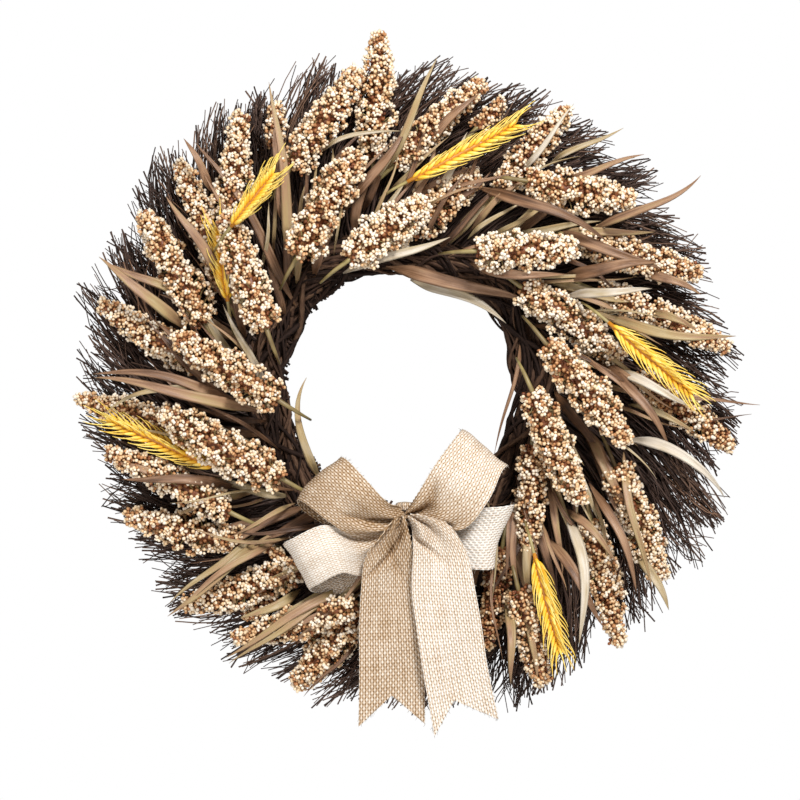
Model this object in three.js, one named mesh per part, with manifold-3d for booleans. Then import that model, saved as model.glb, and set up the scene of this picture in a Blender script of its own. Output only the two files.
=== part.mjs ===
// Harvest door wreath: a steel ring frame, a vine ring, fans of broom twigs, sorghum heads, wheat ears,
// grass leaves and a burlap bow. Millimetres. +Z is up and -Y is the front, which faces the room.
// The origin is the hook point: the top of the inside of the hanging ring.
import * as THREE from 'three';
import { mergeVertices } from 'three/addons/utils/BufferGeometryUtils.js';
import Module from 'manifold-3d';

const wasm = await Module();
wasm.setup();

// ---- driving dimensions -------------------------------------------------------------------------
// A "depth" is measured forward from the door. A "clock" angle runs clockwise from 12 o'clock.
const DOOR_Y = 3.2;              // the door's plane, behind the origin
const GAP = 0.4;                 // clearance between neighbouring solids

const RING_WIRE_R = 1.5;         // hanging ring: half-round bow on a straight bar
const RING_HALF_WIDTH = 15;
const RING_RISE = 22;            // bar to the top of the bow, both on centre lines
const KNUCKLE_HEIGHT = 146;      // the bar's height above the wreath's centre
const HOOK_HEIGHT = KNUCKLE_HEIGHT + RING_RISE - RING_WIRE_R;

const FRAME_WIRE_R = 1.6;        // two frame rings, welded on flat straps
const FRAME_RING_RADII = [100, 134];
const STRAP_COUNT = 6;
const STRAP = { inner: 93, outer: 141, width: 9, thick: 2 };
const KNUCKLE = { length: 12, outer: 3.2, bore: 1.85 };

const VINE_INNER = 89;           // the vine ring's inner edge is the wreath's centre hole
const VINE_OUTER = 127;
const VINE_BACK = 5.6;
const VINE_FRONT = 38;

const FAN_COUNT = 6;             // fans of twigs around the vine ring
const FAN_TWIST = 24;            // how far a twig runs clockwise from root to tip, in degrees
const FAN = { root: 128, tip: 246, notch: 230, back: 8, front: 35, tipBack: 12, tipFront: 28, teeth: 11 };

const LEAF_DEPTH = 36;           // the leaf sprays lie on the twigs
const LEAF_THICK = 1.4;

const STEM_R = 1.5;
const STEM_LENGTH = 12;
const TIP_DIP = 6;               // how far a head's tip lies nearer the door than its base

const KNOT = { z: -97, depth: 84, radius: 9, height: 22 };
const TIE_WIRE_R = 0.9;
const RIBBON_THICK = 1.2;

// ---- colours ------------------------------------------------------------------------------------
const finishes = {
  steel: { color: 0x8c8f92, roughness: 0.4, metalness: 0.9 },
  darkWire: { color: 0x2b2320, roughness: 0.5, metalness: 0.7 },
  vine: { color: 0x3a251c, roughness: 0.85, metalness: 0 },
  twig: { color: 0x2c1c19, roughness: 0.8, metalness: 0 },
  sorghum: { color: 0xd8b98a, roughness: 0.6, metalness: 0 },
  wheat: { color: 0xe9b62d, roughness: 0.6, metalness: 0 },
  leaf: { color: 0x84694f, roughness: 0.55, metalness: 0 },
  burlap: { color: 0xd9c3a4, roughness: 0.95, metalness: 0 },
};

function material(name) {
  return new THREE.MeshStandardMaterial({ ...finishes[name], side: THREE.FrontSide });
}

const wreath = new THREE.Group();

function add(name, finish, geometry, parent = wreath) {
  const mesh = new THREE.Mesh(geometry, material(finish));
  mesh.name = name;
  parent.add(mesh);
  return mesh;
}

// ---- places -------------------------------------------------------------------------------------
/** A point given from the wreath's centre: x to the right, z up, depth forward from the door. */
function place(x, z, depth) {
  return new THREE.Vector3(x, DOOR_Y - depth, z - HOOK_HEIGHT);
}

/** A point at a clock angle and radius from the wreath's centre. */
function clockPlace(clock, radius, depth) {
  const angle = THREE.MathUtils.degToRad(clock);
  return place(radius * Math.sin(angle), radius * Math.cos(angle), depth);
}

// ---- closed solids ------------------------------------------------------------------------------
/** Six times the volume that the faces enclose: negative where they point inwards. */
function signedVolume(geometry) {
  const position = geometry.attributes.position;
  const index = geometry.index.array;
  const [a, b, c] = [new THREE.Vector3(), new THREE.Vector3(), new THREE.Vector3()];
  let volume = 0;
  for (let i = 0; i < index.length; i += 3) {
    a.fromBufferAttribute(position, index[i]);
    b.fromBufferAttribute(position, index[i + 1]);
    c.fromBufferAttribute(position, index[i + 2]);
    volume += a.dot(b.cross(c));
  }
  return volume;
}

/** Merges shared corners and points every face outwards. */
function closed(geometry) {
  const bare = geometry.clone();
  bare.deleteAttribute('normal');
  bare.deleteAttribute('uv');
  const merged = mergeVertices(bare, 1e-4);
  if (signedVolume(merged) < 0) {
    const index = merged.index.array;
    for (let i = 0; i < index.length; i += 3) {
      [index[i + 1], index[i + 2]] = [index[i + 2], index[i + 1]];
    }
  }
  merged.computeVertexNormals();
  return merged;
}

function toSolid(geometry) {
  const shell = closed(geometry);
  return new wasm.Manifold(new wasm.Mesh({
    numProp: 3,
    vertProperties: new Float32Array(shell.attributes.position.array),
    triVerts: new Uint32Array(shell.index.array),
  }));
}

function fromSolid(solid) {
  const mesh = solid.getMesh();
  const geometry = new THREE.BufferGeometry();
  geometry.setAttribute('position', new THREE.BufferAttribute(mesh.vertProperties, 3));
  geometry.setIndex(new THREE.BufferAttribute(mesh.triVerts, 1));
  geometry.computeVertexNormals();
  return geometry;
}

function join(geometries) {
  return fromSolid(geometries.map(toSolid).reduce((whole, piece) => whole.add(piece)));
}

/** A round bar between two points. */
function rod(start, end, radius, sides = 10) {
  const along = end.clone().sub(start);
  const turn = new THREE.Quaternion().setFromUnitVectors(
    new THREE.Vector3(0, 1, 0), along.clone().normalize());
  return new THREE.CylinderGeometry(radius, radius, along.length(), sides)
    .applyQuaternion(turn)
    .translate(...start.clone().add(end).multiplyScalar(0.5).toArray());
}

/** A closed section, given as radius and depth pairs, turned about the wreath's centre line. */
function turned(section, segments) {
  const points = [...section, section[0]].map(([radius, depth]) => new THREE.Vector2(radius, depth));
  const centre = place(0, 0, 0);
  return new THREE.LatheGeometry(points, segments)
    .scale(1, -1, 1)
    .translate(centre.x, centre.y, centre.z);
}

/** A round section for turned(), anticlockwise. */
function roundSection(radius, depth, wireR, sides) {
  return Array.from({ length: sides }, (_, i) => {
    const angle = (2 * Math.PI * (i + 0.5)) / sides;
    return [radius + wireR * Math.cos(angle), depth + wireR * Math.sin(angle)];
  });
}

/** A ribbon: rows of points across it, thickened to both sides of the surface that they span. */
function ribbonSolid(rows, thick) {
  const across = rows[0].length;
  const normals = rows.map((row, i) => row.map((_, j) => {
    const before = rows[Math.max(i - 1, 0)][j];
    const after = rows[Math.min(i + 1, rows.length - 1)][j];
    const left = row[Math.max(j - 1, 0)];
    const right = row[Math.min(j + 1, across - 1)];
    return after.clone().sub(before).cross(right.clone().sub(left)).normalize();
  }));
  const side = (sign) => rows.flatMap((row, i) => row.flatMap((point, j) => (
    point.clone().addScaledVector(normals[i][j], (sign * thick) / 2).toArray())));
  const count = rows.length * across;
  const index = [];
  const quad = (p, q, r, s) => index.push(p, q, r, p, r, s);
  for (let i = 0; i < rows.length - 1; i += 1) {
    for (let j = 0; j < across - 1; j += 1) {
      const p = i * across + j;
      quad(p, p + across, p + across + 1, p + 1);
      quad(p + count, p + 1 + count, p + across + 1 + count, p + across + count);
    }
  }
  const lastRow = (rows.length - 1) * across;
  for (let j = 0; j < across - 1; j += 1) {
    quad(j, j + 1, j + 1 + count, j + count);
    quad(lastRow + j + 1, lastRow + j, lastRow + j + count, lastRow + j + 1 + count);
  }
  for (let i = 0; i < rows.length - 1; i += 1) {
    const p = i * across;
    quad(p + across, p, p + count, p + across + count);
    const q = p + across - 1;
    quad(q, q + across, q + across + count, q + count);
  }
  const geometry = new THREE.BufferGeometry();
  geometry.setAttribute('position', new THREE.Float32BufferAttribute([...side(1), ...side(-1)], 3));
  geometry.setIndex(index);
  return closed(geometry);
}

// ---- wire frame and hanging ring ----------------------------------------------------------------
function strap(clock) {
  const length = STRAP.outer - STRAP.inner;
  const middle = clockPlace(clock, (STRAP.inner + STRAP.outer) / 2, STRAP.thick / 2);
  return new THREE.BoxGeometry(STRAP.width, STRAP.thick, length)
    .rotateY(THREE.MathUtils.degToRad(clock))
    .translate(middle.x, middle.y, middle.z);
}

/** The top strap runs on to a knuckle rolled around the hanging ring's bar. */
function knuckle() {
  const half = KNUCKLE.length / 2;
  const barrel = (radius, over) => rod(
    place(-half - over, KNUCKLE_HEIGHT, DOOR_Y), place(half + over, KNUCKLE_HEIGHT, DOOR_Y), radius, 16);
  const top = KNUCKLE_HEIGHT - KNUCKLE.bore;
  const tongue = new THREE.BoxGeometry(STRAP.width, STRAP.thick, top - STRAP.outer + 2)
    .translate(...place(0, (top + STRAP.outer - 2) / 2, STRAP.thick / 2).toArray());
  const rolled = toSolid(barrel(KNUCKLE.outer, 0)).add(toSolid(tongue));
  return rolled.subtract(toSolid(barrel(KNUCKLE.bore, 1)));
}

function wireFrame() {
  const ringDepth = STRAP.thick + FRAME_WIRE_R - 0.2;
  const pieces = FRAME_RING_RADII.map((radius) => (
    turned(roundSection(radius, ringDepth, FRAME_WIRE_R, 8), 60)));
  for (let i = 0; i < STRAP_COUNT; i += 1) {
    pieces.push(strap((360 * i) / STRAP_COUNT));
  }
  const welded = pieces.map(toSolid).reduce((whole, piece) => whole.add(piece));
  return fromSolid(welded.add(knuckle()));
}

function hangingRing() {
  const straight = RING_RISE - RING_HALF_WIDTH;
  const path = new THREE.CurvePath();
  const corner = (side, rise) => place(side * RING_HALF_WIDTH, KNUCKLE_HEIGHT + rise, DOOR_Y);
  const arc = Array.from({ length: 13 }, (_, i) => {
    const angle = Math.PI - (Math.PI * i) / 12;
    return place(RING_HALF_WIDTH * Math.cos(angle),
      KNUCKLE_HEIGHT + straight + RING_HALF_WIDTH * Math.sin(angle), DOOR_Y);
  });
  path.add(new THREE.LineCurve3(corner(-1, 0), corner(-1, straight)));
  path.add(new THREE.CatmullRomCurve3(arc));
  path.add(new THREE.LineCurve3(corner(1, straight), corner(1, 0)));
  const section = new THREE.Shape();
  section.absarc(0, 0, RING_WIRE_R, 0, 2 * Math.PI);
  const bow = new THREE.ExtrudeGeometry(section, { steps: 28, curveSegments: 8, extrudePath: path });
  const reach = RING_HALF_WIDTH + RING_WIRE_R;
  const bar = rod(place(-reach, KNUCKLE_HEIGHT, DOOR_Y), place(reach, KNUCKLE_HEIGHT, DOOR_Y),
    RING_WIRE_R, 12);
  return join([bow, bar]);
}

// ---- vine ring ----------------------------------------------------------------------------------
/** A rounded ring with a flat back, where it lies on the frame. */
function vineBase() {
  const middle = (VINE_INNER + VINE_OUTER) / 2;
  const half = (VINE_OUTER - VINE_INNER) / 2;
  const flatHalf = 10;
  const arc = Array.from({ length: 11 }, (_, i) => {
    const angle = -0.18 * Math.PI + (1.36 * Math.PI * i) / 10;
    const rise = 0.5 + 0.5 * Math.sin(angle);
    return [middle + half * Math.cos(angle), VINE_BACK + (VINE_FRONT - VINE_BACK) * rise];
  });
  const section = [[middle - flatHalf, VINE_BACK], [middle + flatHalf, VINE_BACK], ...arc];
  return closed(turned(section, 56));
}

// ---- twig fans ----------------------------------------------------------------------------------
/** One fan: a swirled sector with a ragged rim, thinner towards its tips. */
function twigFan(start) {
  const sweep = 360 / FAN_COUNT;
  const gapAngle = THREE.MathUtils.radToDeg(GAP / FAN.root);
  const spot = (share, radius) => {
    const clock = start + sweep * share - gapAngle + FAN_TWIST * ((radius - FAN.root) / (FAN.tip - FAN.root));
    const angle = THREE.MathUtils.degToRad(clock);
    return new THREE.Vector2(radius * Math.sin(angle), radius * Math.cos(angle));
  };
  const last = 1 - (2 * gapAngle) / sweep;
  const outline = [];
  const edgeSteps = 5;
  for (let i = 0; i <= 8; i += 1) outline.push(spot((last * i) / 8, FAN.root));
  for (let i = 1; i < edgeSteps; i += 1) {
    outline.push(spot(last, FAN.root + ((FAN.notch - FAN.root) * i) / edgeSteps));
  }
  for (let i = FAN.teeth * 2; i >= 0; i -= 1) {
    const ragged = 5 * Math.sin(start + i * 2.3);
    const radius = (i % 2 ? FAN.tip - 4 : FAN.notch + 3) + ragged;
    outline.push(spot((last * i) / (FAN.teeth * 2), radius));
  }
  for (let i = edgeSteps - 1; i >= 1; i -= 1) {
    outline.push(spot(0, FAN.root + ((FAN.notch - FAN.root) * i) / edgeSteps));
  }
  const slab = new THREE.ExtrudeGeometry(new THREE.Shape(outline), { depth: 1, bevelEnabled: false });
  const position = slab.attributes.position;
  for (let i = 0; i < position.count; i += 1) {
    const [x, z, front] = [position.getX(i), position.getY(i), position.getZ(i)];
    const out = THREE.MathUtils.clamp((Math.hypot(x, z) - FAN.root) / (FAN.tip - FAN.root), 0, 1);
    const back = THREE.MathUtils.lerp(FAN.back, FAN.tipBack, out);
    const face = THREE.MathUtils.lerp(FAN.front, FAN.tipFront, out);
    position.setXYZ(i, ...place(x, z, front > 0.5 ? face : back).toArray());
  }
  return closed(slab);
}

// ---- seed heads and ears ------------------------------------------------------------------------
/** Stem and head as one turned solid from base to tip. The profile is in shares of the head. */
function headOnStem(profile, length, width, stemLength) {
  const points = [new THREE.Vector2(0, -stemLength), new THREE.Vector2(STEM_R, -stemLength),
    new THREE.Vector2(STEM_R, 0)];
  profile.forEach(([along, half]) => points.push(new THREE.Vector2(half * width, along * length)));
  points.push(new THREE.Vector2(0, length));
  return closed(new THREE.LatheGeometry(points, 10));
}

const SORGHUM_PROFILE = [[0.03, 0.24], [0.16, 0.42], [0.36, 0.5], [0.6, 0.46], [0.8, 0.36], [0.95, 0.2]];
const WHEAT_PROFILE = [[0.02, 0.2], [0.15, 0.44], [0.4, 0.5], [0.7, 0.4], [0.92, 0.2]];

/** Sets a piece that grows along +Y at a clock angle, leaning clockwise from straight outwards. */
function aim(mesh, { clock, radius, lean, depth, rise = -TIP_DIP, length }) {
  const turn = THREE.MathUtils.degToRad(clock + lean);
  const flat = Math.sqrt(length * length - rise * rise);
  const direction = new THREE.Vector3(Math.sin(turn) * flat, -rise, Math.cos(turn) * flat).normalize();
  mesh.position.copy(clockPlace(clock, radius, depth));
  mesh.quaternion.setFromUnitVectors(new THREE.Vector3(0, 1, 0), direction);
}

// Sorghum heads, clockwise from the top. Radius and depth are those of the head's base. Heads near the
// door lie on the twigs (depth about 50), and those in front lean over them (depth about 84).
const SORGHUM = [
  { clock: 26, radius: 166, lean: 13, length: 82, width: 27, depth: 54 },
  { clock: 28, radius: 114, lean: 60, length: 76, width: 30, depth: 86 },
  { clock: 31, radius: 180, lean: 68, length: 84, width: 31, depth: 74, rise: -16 },
  { clock: 50, radius: 116, lean: 76, length: 95, width: 31, depth: 62 },
  { clock: 50, radius: 174, lean: 56, length: 97, width: 28, depth: 58 },
  { clock: 64, radius: 164, lean: 49, length: 109, width: 24, depth: 50 },
  { clock: 74, radius: 111, lean: 67, length: 96, width: 31, depth: 86 },
  { clock: 88, radius: 176, lean: 38, length: 92, width: 26, depth: 48 },
  { clock: 93, radius: 96, lean: 63, length: 92, width: 28, depth: 86 },
  { clock: 111, radius: 172, lean: 47, length: 94, width: 31, depth: 54 },
  { clock: 115, radius: 107, lean: 67, length: 82, width: 24, depth: 62 },
  { clock: 126, radius: 176, lean: 41, length: 98, width: 25, depth: 52 },
  { clock: 149, radius: 145, lean: 40, length: 78, width: 21, depth: 48 },
  { clock: 151, radius: 178, lean: 15, length: 75, width: 25, depth: 66 },
  { clock: 191, radius: 181, lean: 32, length: 72, width: 31, depth: 52 },
  { clock: 192, radius: 170, lean: 62, length: 98, width: 24, depth: 70 },
  { clock: 210, radius: 162, lean: 42, length: 93, width: 29, depth: 54 },
  { clock: 226, radius: 171, lean: 56, length: 92, width: 29, depth: 54 },
  { clock: 233, radius: 117, lean: 66, length: 103, width: 33, depth: 86 },
  { clock: 234, radius: 164, lean: 62, length: 104, width: 25, depth: 72, rise: -8 },
  { clock: 256, radius: 170, lean: 34, length: 91, width: 24, depth: 50 },
  { clock: 263, radius: 96, lean: 39, length: 92, width: 30, depth: 86 },
  { clock: 275, radius: 157, lean: 27, length: 92, width: 25, depth: 50 },
  { clock: 287, radius: 160, lean: 44, length: 98, width: 29, depth: 56 },
  { clock: 292, radius: 112, lean: 48, length: 94, width: 29, depth: 96, rise: -14 },
  { clock: 298, radius: 156, lean: 42, length: 104, width: 23, depth: 50 },
  { clock: 312, radius: 182, lean: 54, length: 86, width: 27, depth: 56 },
  { clock: 320, radius: 126, lean: 70, length: 91, width: 34, depth: 86 },
  { clock: 332, radius: 186, lean: 62, length: 92, width: 28, depth: 66 },
  { clock: 336, radius: 103, lean: 77, length: 72, width: 34, depth: 92 },
  { clock: 352, radius: 175, lean: 11, length: 96, width: 29, depth: 50 },
  { clock: 356, radius: 112, lean: 57, length: 81, width: 32, depth: 60 },
  { clock: 357, radius: 168, lean: 50, length: 94, width: 25, depth: 56 },
];

// Wheat ears, clockwise from the top. The fifth points out of the wreath towards the room.
const WHEAT = [
  { clock: 2, radius: 155, lean: 60, length: 102, depth: 86 },
  { clock: 74, radius: 162, lean: 56, length: 92, depth: 88 },
  { clock: 143, radius: 163, lean: 22, length: 84, depth: 84 },
  { clock: 247, radius: 158, lean: 47, length: 99, depth: 72 },
  { clock: 296, radius: 150, lean: 56, length: 60, depth: 69 },
  { clock: 313, radius: 176, lean: 88, length: 60, depth: 100, rise: 26 },
];
const WHEAT_WIDTH = 17;

// Leaf sprays lying on the twigs: three blades each, with their roots beside the vine ring.
const LEAF_SPRAYS = [18, 98, 238, 330];
const SPRAY = { root: 135, length: 96, width: 8, lean: 34, spread: 16 };

/** A spray: three pointed blades that share a root, cut from one flat sheet. */
function leafSpray(clock) {
  const blades = [-SPRAY.spread, 0, SPRAY.spread].map((turn) => {
    const blade = new THREE.Shape();
    blade.moveTo(-SPRAY.width / 3, 0);
    blade.quadraticCurveTo(-SPRAY.width * 0.7, SPRAY.length * 0.5, 0, SPRAY.length);
    blade.quadraticCurveTo(SPRAY.width * 0.7, SPRAY.length * 0.5, SPRAY.width / 3, 0);
    blade.closePath();
    return new THREE.ExtrudeGeometry(blade, { depth: LEAF_THICK, bevelEnabled: false, curveSegments: 7 })
      .rotateX(Math.PI / 2)
      .translate(0, LEAF_THICK / 2, 0)
      .rotateY(THREE.MathUtils.degToRad(clock + SPRAY.lean + turn));
  });
  const middle = clockPlace(clock, SPRAY.root, LEAF_DEPTH + LEAF_THICK / 2);
  return join(blades).translate(middle.x, middle.y, middle.z);
}

// ---- bow ----------------------------------------------------------------------------------------
/** A point given from the knot: right, up and forward. */
function fromKnot(right, up, forward) {
  return place(right, KNOT.z + up, KNOT.depth + forward);
}

/** Rows across a ribbon that follows the centres, each row spanning its half-width vector. */
function ribbonRows(stations, steps) {
  const centre = new THREE.CatmullRomCurve3(stations.map(({ at }) => fromKnot(...at)));
  const reach = new THREE.CatmullRomCurve3(stations.map(({ half: [right, up, forward] }) => (
    new THREE.Vector3(right, -forward, up))));
  return Array.from({ length: steps + 1 }, (_, i) => {
    const middle = centre.getPoint(i / steps);
    const half = reach.getPoint(i / steps);
    return [-1, 0, 1].map((side) => middle.clone().addScaledVector(half, side));
  });
}

// Each loop leaves the knot in front, turns over at its outer fold and comes back behind.
const LOOPS = {
  upper_left: [
    { at: [-12, 4, 6], half: [2, 7, 0] },
    { at: [-32, 17, 20], half: [10, 16, 2] },
    { at: [-56, 27, 18], half: [15, 15, 4] },
    { at: [-64, 24, 4], half: [16, 14, 4] },
    { at: [-53, 11, -9], half: [15, 14, 3] },
    { at: [-34, 2, -10], half: [9, 13, 2] },
    { at: [-12, -1, -3], half: [2, 5, 0] },
  ],
  lower_left: [
    { at: [-12, -5, 1], half: [-1, 6, 1] },
    { at: [-36, -18, 10], half: [-4, 17, 4] },
    { at: [-64, -27, 9], half: [-3, 20, 4] },
    { at: [-84, -29, 0], half: [-4, 20, 4] },
    { at: [-72, -33, -17], half: [-3, 18, 4] },
    { at: [-44, -33, -19], half: [-3, 17, 2] },
    { at: [-13, -13, -7], half: [-1, 4, 0] },
  ],
  upper_right: [
    { at: [12, 6, 6], half: [4, -6, 0] },
    { at: [30, 26, 20], half: [13, -12, 2] },
    { at: [48, 43, 20], half: [16, -13, 4] },
    { at: [58, 51, 5], half: [17, -14, 4] },
    { at: [54, 37, -9], half: [16, -14, 4] },
    { at: [38, 17, -9], half: [12, -12, 2] },
    { at: [13, 4, -1], half: [3, -4, 0] },
  ],
  lower_right: [
    { at: [15, -13, -17], half: [1, 3, 0] },
    { at: [42, -10, -4], half: [4, 15, 2] },
    { at: [66, -12, -5], half: [6, 18, 4] },
    { at: [80, -13, -14], half: [6, 20, 4] },
    { at: [68, -14, -27], half: [6, 18, 4] },
    { at: [40, -12, -27], half: [4, 15, 2] },
    { at: [13, -7, -14], half: [1, 4, 0] },
  ],
};

// The tails fall in front of the wreath. The right one hangs over the left one.
const TAILS = {
  left: [
    { at: [-5, -15, 2], half: [7, 0, 0] },
    { at: [-13, -34, 6], half: [17, 3, 0] },
    { at: [-13, -78, 4], half: [21, 2, 0] },
    { at: [-11, -118, 3], half: [24, 1, 0] },
    { at: [-10, -159, 3], half: [25, 1, 0] },
  ],
  right: [
    { at: [6, -15, 9], half: [6, -1, 0] },
    { at: [24, -34, 14], half: [19, -4, 1] },
    { at: [31, -72, 13], half: [25, -4, 1] },
    { at: [39, -116, 11], half: [24, 3, 1] },
    { at: [47, -161, 9], half: [24, 6, 0] },
  ],
};
const NOTCH_DEPTH = 21;

function tail(stations) {
  const rows = ribbonRows(stations, 14);
  const last = rows[rows.length - 1];
  const before = rows[rows.length - 2][1];
  const along = last[1].clone().sub(before).normalize();
  rows.slice(-4).forEach((row, i) => row[1].addScaledVector(along, (-NOTCH_DEPTH * (i + 1)) / 4));
  return ribbonSolid(rows, RIBBON_THICK);
}

/** The gathered middle of the bow, with a waist where the wire binds it. */
function bowCentre() {
  const [r, h] = [KNOT.radius, KNOT.height / 2];
  const profile = [[0, -h], [0.75, -h], [1, -0.6 * h], [0.62, -0.1 * h], [0.62, 0.1 * h], [1, 0.6 * h],
    [0.75, h], [0, h]].map(([half, up]) => new THREE.Vector2(half * (half ? r : 0), up));
  return closed(new THREE.LatheGeometry(profile, 14)
    .rotateX(Math.PI / 2)
    .translate(...fromKnot(0, 0, 0).toArray()));
}

/** The binding wire: a ring in the waist, with two legs back to the vine ring. */
function bowTieWire() {
  const ringR = KNOT.radius * 0.62 + TIE_WIRE_R + GAP;
  const ring = new THREE.LatheGeometry(
    [...roundSection(ringR, 0, TIE_WIRE_R, 8), roundSection(ringR, 0, TIE_WIRE_R, 8)[0]]
      .map(([radius, up]) => new THREE.Vector2(radius, up)), 18)
    .rotateX(Math.PI / 2)
    .translate(...fromKnot(0, 0, 0).toArray());
  const legEnd = VINE_FRONT + 1 - KNOT.depth;
  const leg = rod(fromKnot(0, 0, -ringR), fromKnot(0, 0, legEnd), TIE_WIRE_R * 1.6, 8);
  return join([ring, leg]);
}

// ---- assembly -----------------------------------------------------------------------------------
add('wire_frame', 'steel', wireFrame());
add('hanging_ring', 'steel', hangingRing());
add('vine_base', 'vine', vineBase());

for (let i = 0; i < FAN_COUNT; i += 1) {
  add(`twig_fan_${i + 1}`, 'twig', twigFan((360 * i) / FAN_COUNT));
}

LEAF_SPRAYS.forEach((clock, i) => add(`leaf_spray_${i + 1}`, 'leaf', leafSpray(clock)));

const heads = new THREE.Group();
SORGHUM.forEach((head, i) => {
  const name = `sorghum_head_${String(i + 1).padStart(2, '0')}`;
  const geometry = headOnStem(SORGHUM_PROFILE, head.length, head.width, STEM_LENGTH);
  aim(add(name, 'sorghum', geometry, heads), head);
});
WHEAT.forEach((ear, i) => {
  const geometry = headOnStem(WHEAT_PROFILE, ear.length, WHEAT_WIDTH, STEM_LENGTH);
  aim(add(`wheat_ear_${i + 1}`, 'wheat', geometry, heads), ear);
});
wreath.add(heads);

Object.entries(LOOPS).forEach(([side, stations]) => {
  add(`bow_loop_${side}`, 'burlap', ribbonSolid(ribbonRows(stations, 22), RIBBON_THICK));
});
Object.entries(TAILS).forEach(([side, stations]) => {
  add(`bow_tail_${side}`, 'burlap', tail(stations));
});
add('bow_centre', 'burlap', bowCentre());
add('bow_tie_wire', 'darkWire', bowTieWire());

export default wreath;
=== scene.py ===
"""The looks of a harvest door wreath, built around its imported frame. Metres, +Z up, the front faces -Y."""
import math

import bpy
import numpy as np
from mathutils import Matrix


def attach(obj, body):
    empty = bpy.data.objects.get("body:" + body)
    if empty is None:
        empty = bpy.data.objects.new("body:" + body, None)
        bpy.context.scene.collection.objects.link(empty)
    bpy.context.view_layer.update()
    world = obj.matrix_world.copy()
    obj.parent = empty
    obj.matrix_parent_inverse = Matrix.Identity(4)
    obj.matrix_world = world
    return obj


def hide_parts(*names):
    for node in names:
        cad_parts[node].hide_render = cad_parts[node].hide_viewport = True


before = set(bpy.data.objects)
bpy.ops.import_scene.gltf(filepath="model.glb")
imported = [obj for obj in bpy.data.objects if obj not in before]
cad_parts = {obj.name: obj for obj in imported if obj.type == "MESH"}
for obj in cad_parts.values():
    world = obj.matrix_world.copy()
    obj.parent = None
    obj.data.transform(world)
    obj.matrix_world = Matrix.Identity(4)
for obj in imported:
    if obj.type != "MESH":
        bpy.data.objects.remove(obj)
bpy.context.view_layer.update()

MM = 0.001
DOOR_Y = 3.2 * MM               # the door's plane: depths are measured forward from it
HOOK_HEIGHT = 166.5 * MM        # the hook point above the wreath's centre
VINE_RADIUS = 108 * MM          # middle of the vine ring
GOLDEN_ANGLE = 2.39996          # radians between one point of a sunflower spiral and the next
VIEW_WIDTH = 0.610              # what the camera takes in at the wreath
SEED = 20


# ---- camera --------------------
def make_camera():
    """A long lens, level with the wreath and square to it."""
    data = bpy.data.cameras.new("camera")
    data.lens = 120
    camera = bpy.data.objects.new("camera", data)
    distance = VIEW_WIDTH * data.lens / data.sensor_width
    focus_depth = 60 * MM
    camera.location = (-0.0038, DOOR_Y - focus_depth - distance, -HOOK_HEIGHT - 0.0114)
    camera.rotation_euler = (math.radians(90), 0, 0)
    bpy.context.scene.collection.objects.link(camera)
    bpy.context.scene.camera = camera


make_camera()


# ---- places --------------------
def place(x, z, depth):
    """Points from the wreath's centre in metres: right, up, and forward from the door."""
    x, z, depth = np.broadcast_arrays(x, z, depth)
    return np.stack([x, DOOR_Y - depth, z - HOOK_HEIGHT], -1).astype(float)


def clock_place(clock, radius, depth):
    """Points at clock angles in radians and radii from the wreath's centre."""
    return place(radius * np.sin(clock), radius * np.cos(clock), depth)


def unit(vectors):
    """Vectors divided by their lengths."""
    return vectors / np.maximum(np.linalg.norm(vectors, axis=-1, keepdims=True), 1e-12)


def smooth(low, high, x):
    """0 below low, 1 above high, and a cubic ease between them."""
    t = np.clip((x - low) / (high - low), 0, 1)
    return t * t * (3 - 2 * t)


# ---- meshes from arrays --------------------
class Surface:
    """Points, four-sided and three-sided faces, a tone and UVs for each point, and a material number."""

    def __init__(self, points, quads=(), triangles=(), tone=0.5, uv=None, slot=0):
        self.points = np.asarray(points, float).reshape(-1, 3)
        self.quads = np.asarray(quads, int).reshape(-1, 4)
        self.triangles = np.asarray(triangles, int).reshape(-1, 3)
        self.tone = np.broadcast_to(np.asarray(tone, float).ravel(), (len(self.points),))
        self.uv = np.zeros((len(self.points), 2)) if uv is None else np.asarray(uv, float).reshape(-1, 2)
        self.slot = slot


def make_piece(name, surfaces, materials, body="wreath", replaces=()):
    """One object from several surfaces: their arrays are joined and put into a mesh, shaded smooth."""
    starts = np.cumsum([0] + [len(s.points) for s in surfaces])
    quads = [s.quads + start for s, start in zip(surfaces, starts)]
    triangles = [s.triangles + start for s, start in zip(surfaces, starts)]
    corners = np.concatenate([q.ravel() for q in quads] + [t.ravel() for t in triangles])
    sizes = np.concatenate([np.full(len(q), 4) for q in quads] + [np.full(len(t), 3) for t in triangles])
    slots = np.concatenate([np.full(len(q), s.slot) for q, s in zip(quads, surfaces)]
                           + [np.full(len(t), s.slot) for t, s in zip(triangles, surfaces)])
    points = np.concatenate([s.points for s in surfaces])
    mesh = bpy.data.meshes.new(name)
    mesh.vertices.add(len(points))
    mesh.vertices.foreach_set("co", points.ravel())
    mesh.loops.add(len(corners))
    mesh.loops.foreach_set("vertex_index", corners)
    mesh.polygons.add(len(sizes))
    mesh.polygons.foreach_set("loop_start", np.concatenate([[0], np.cumsum(sizes)[:-1]]))
    mesh.polygons.foreach_set("loop_total", sizes)
    mesh.polygons.foreach_set("material_index", slots)
    mesh.polygons.foreach_set("use_smooth", np.ones(len(sizes), bool))
    mesh.update(calc_edges=True)
    tone = mesh.attributes.new("tone", "FLOAT", "POINT")
    tone.data.foreach_set("value", np.concatenate([s.tone for s in surfaces]))
    uv = mesh.uv_layers.new(name="along")
    uv.data.foreach_set("uv", np.concatenate([s.uv for s in surfaces])[corners].ravel())
    for finish in materials:
        mesh.materials.append(finish)
    mesh.validate()
    piece = bpy.data.objects.new(name, mesh)
    bpy.context.scene.collection.objects.link(piece)
    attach(piece, body)
    if replaces:
        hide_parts(*replaces)
    return piece


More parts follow.
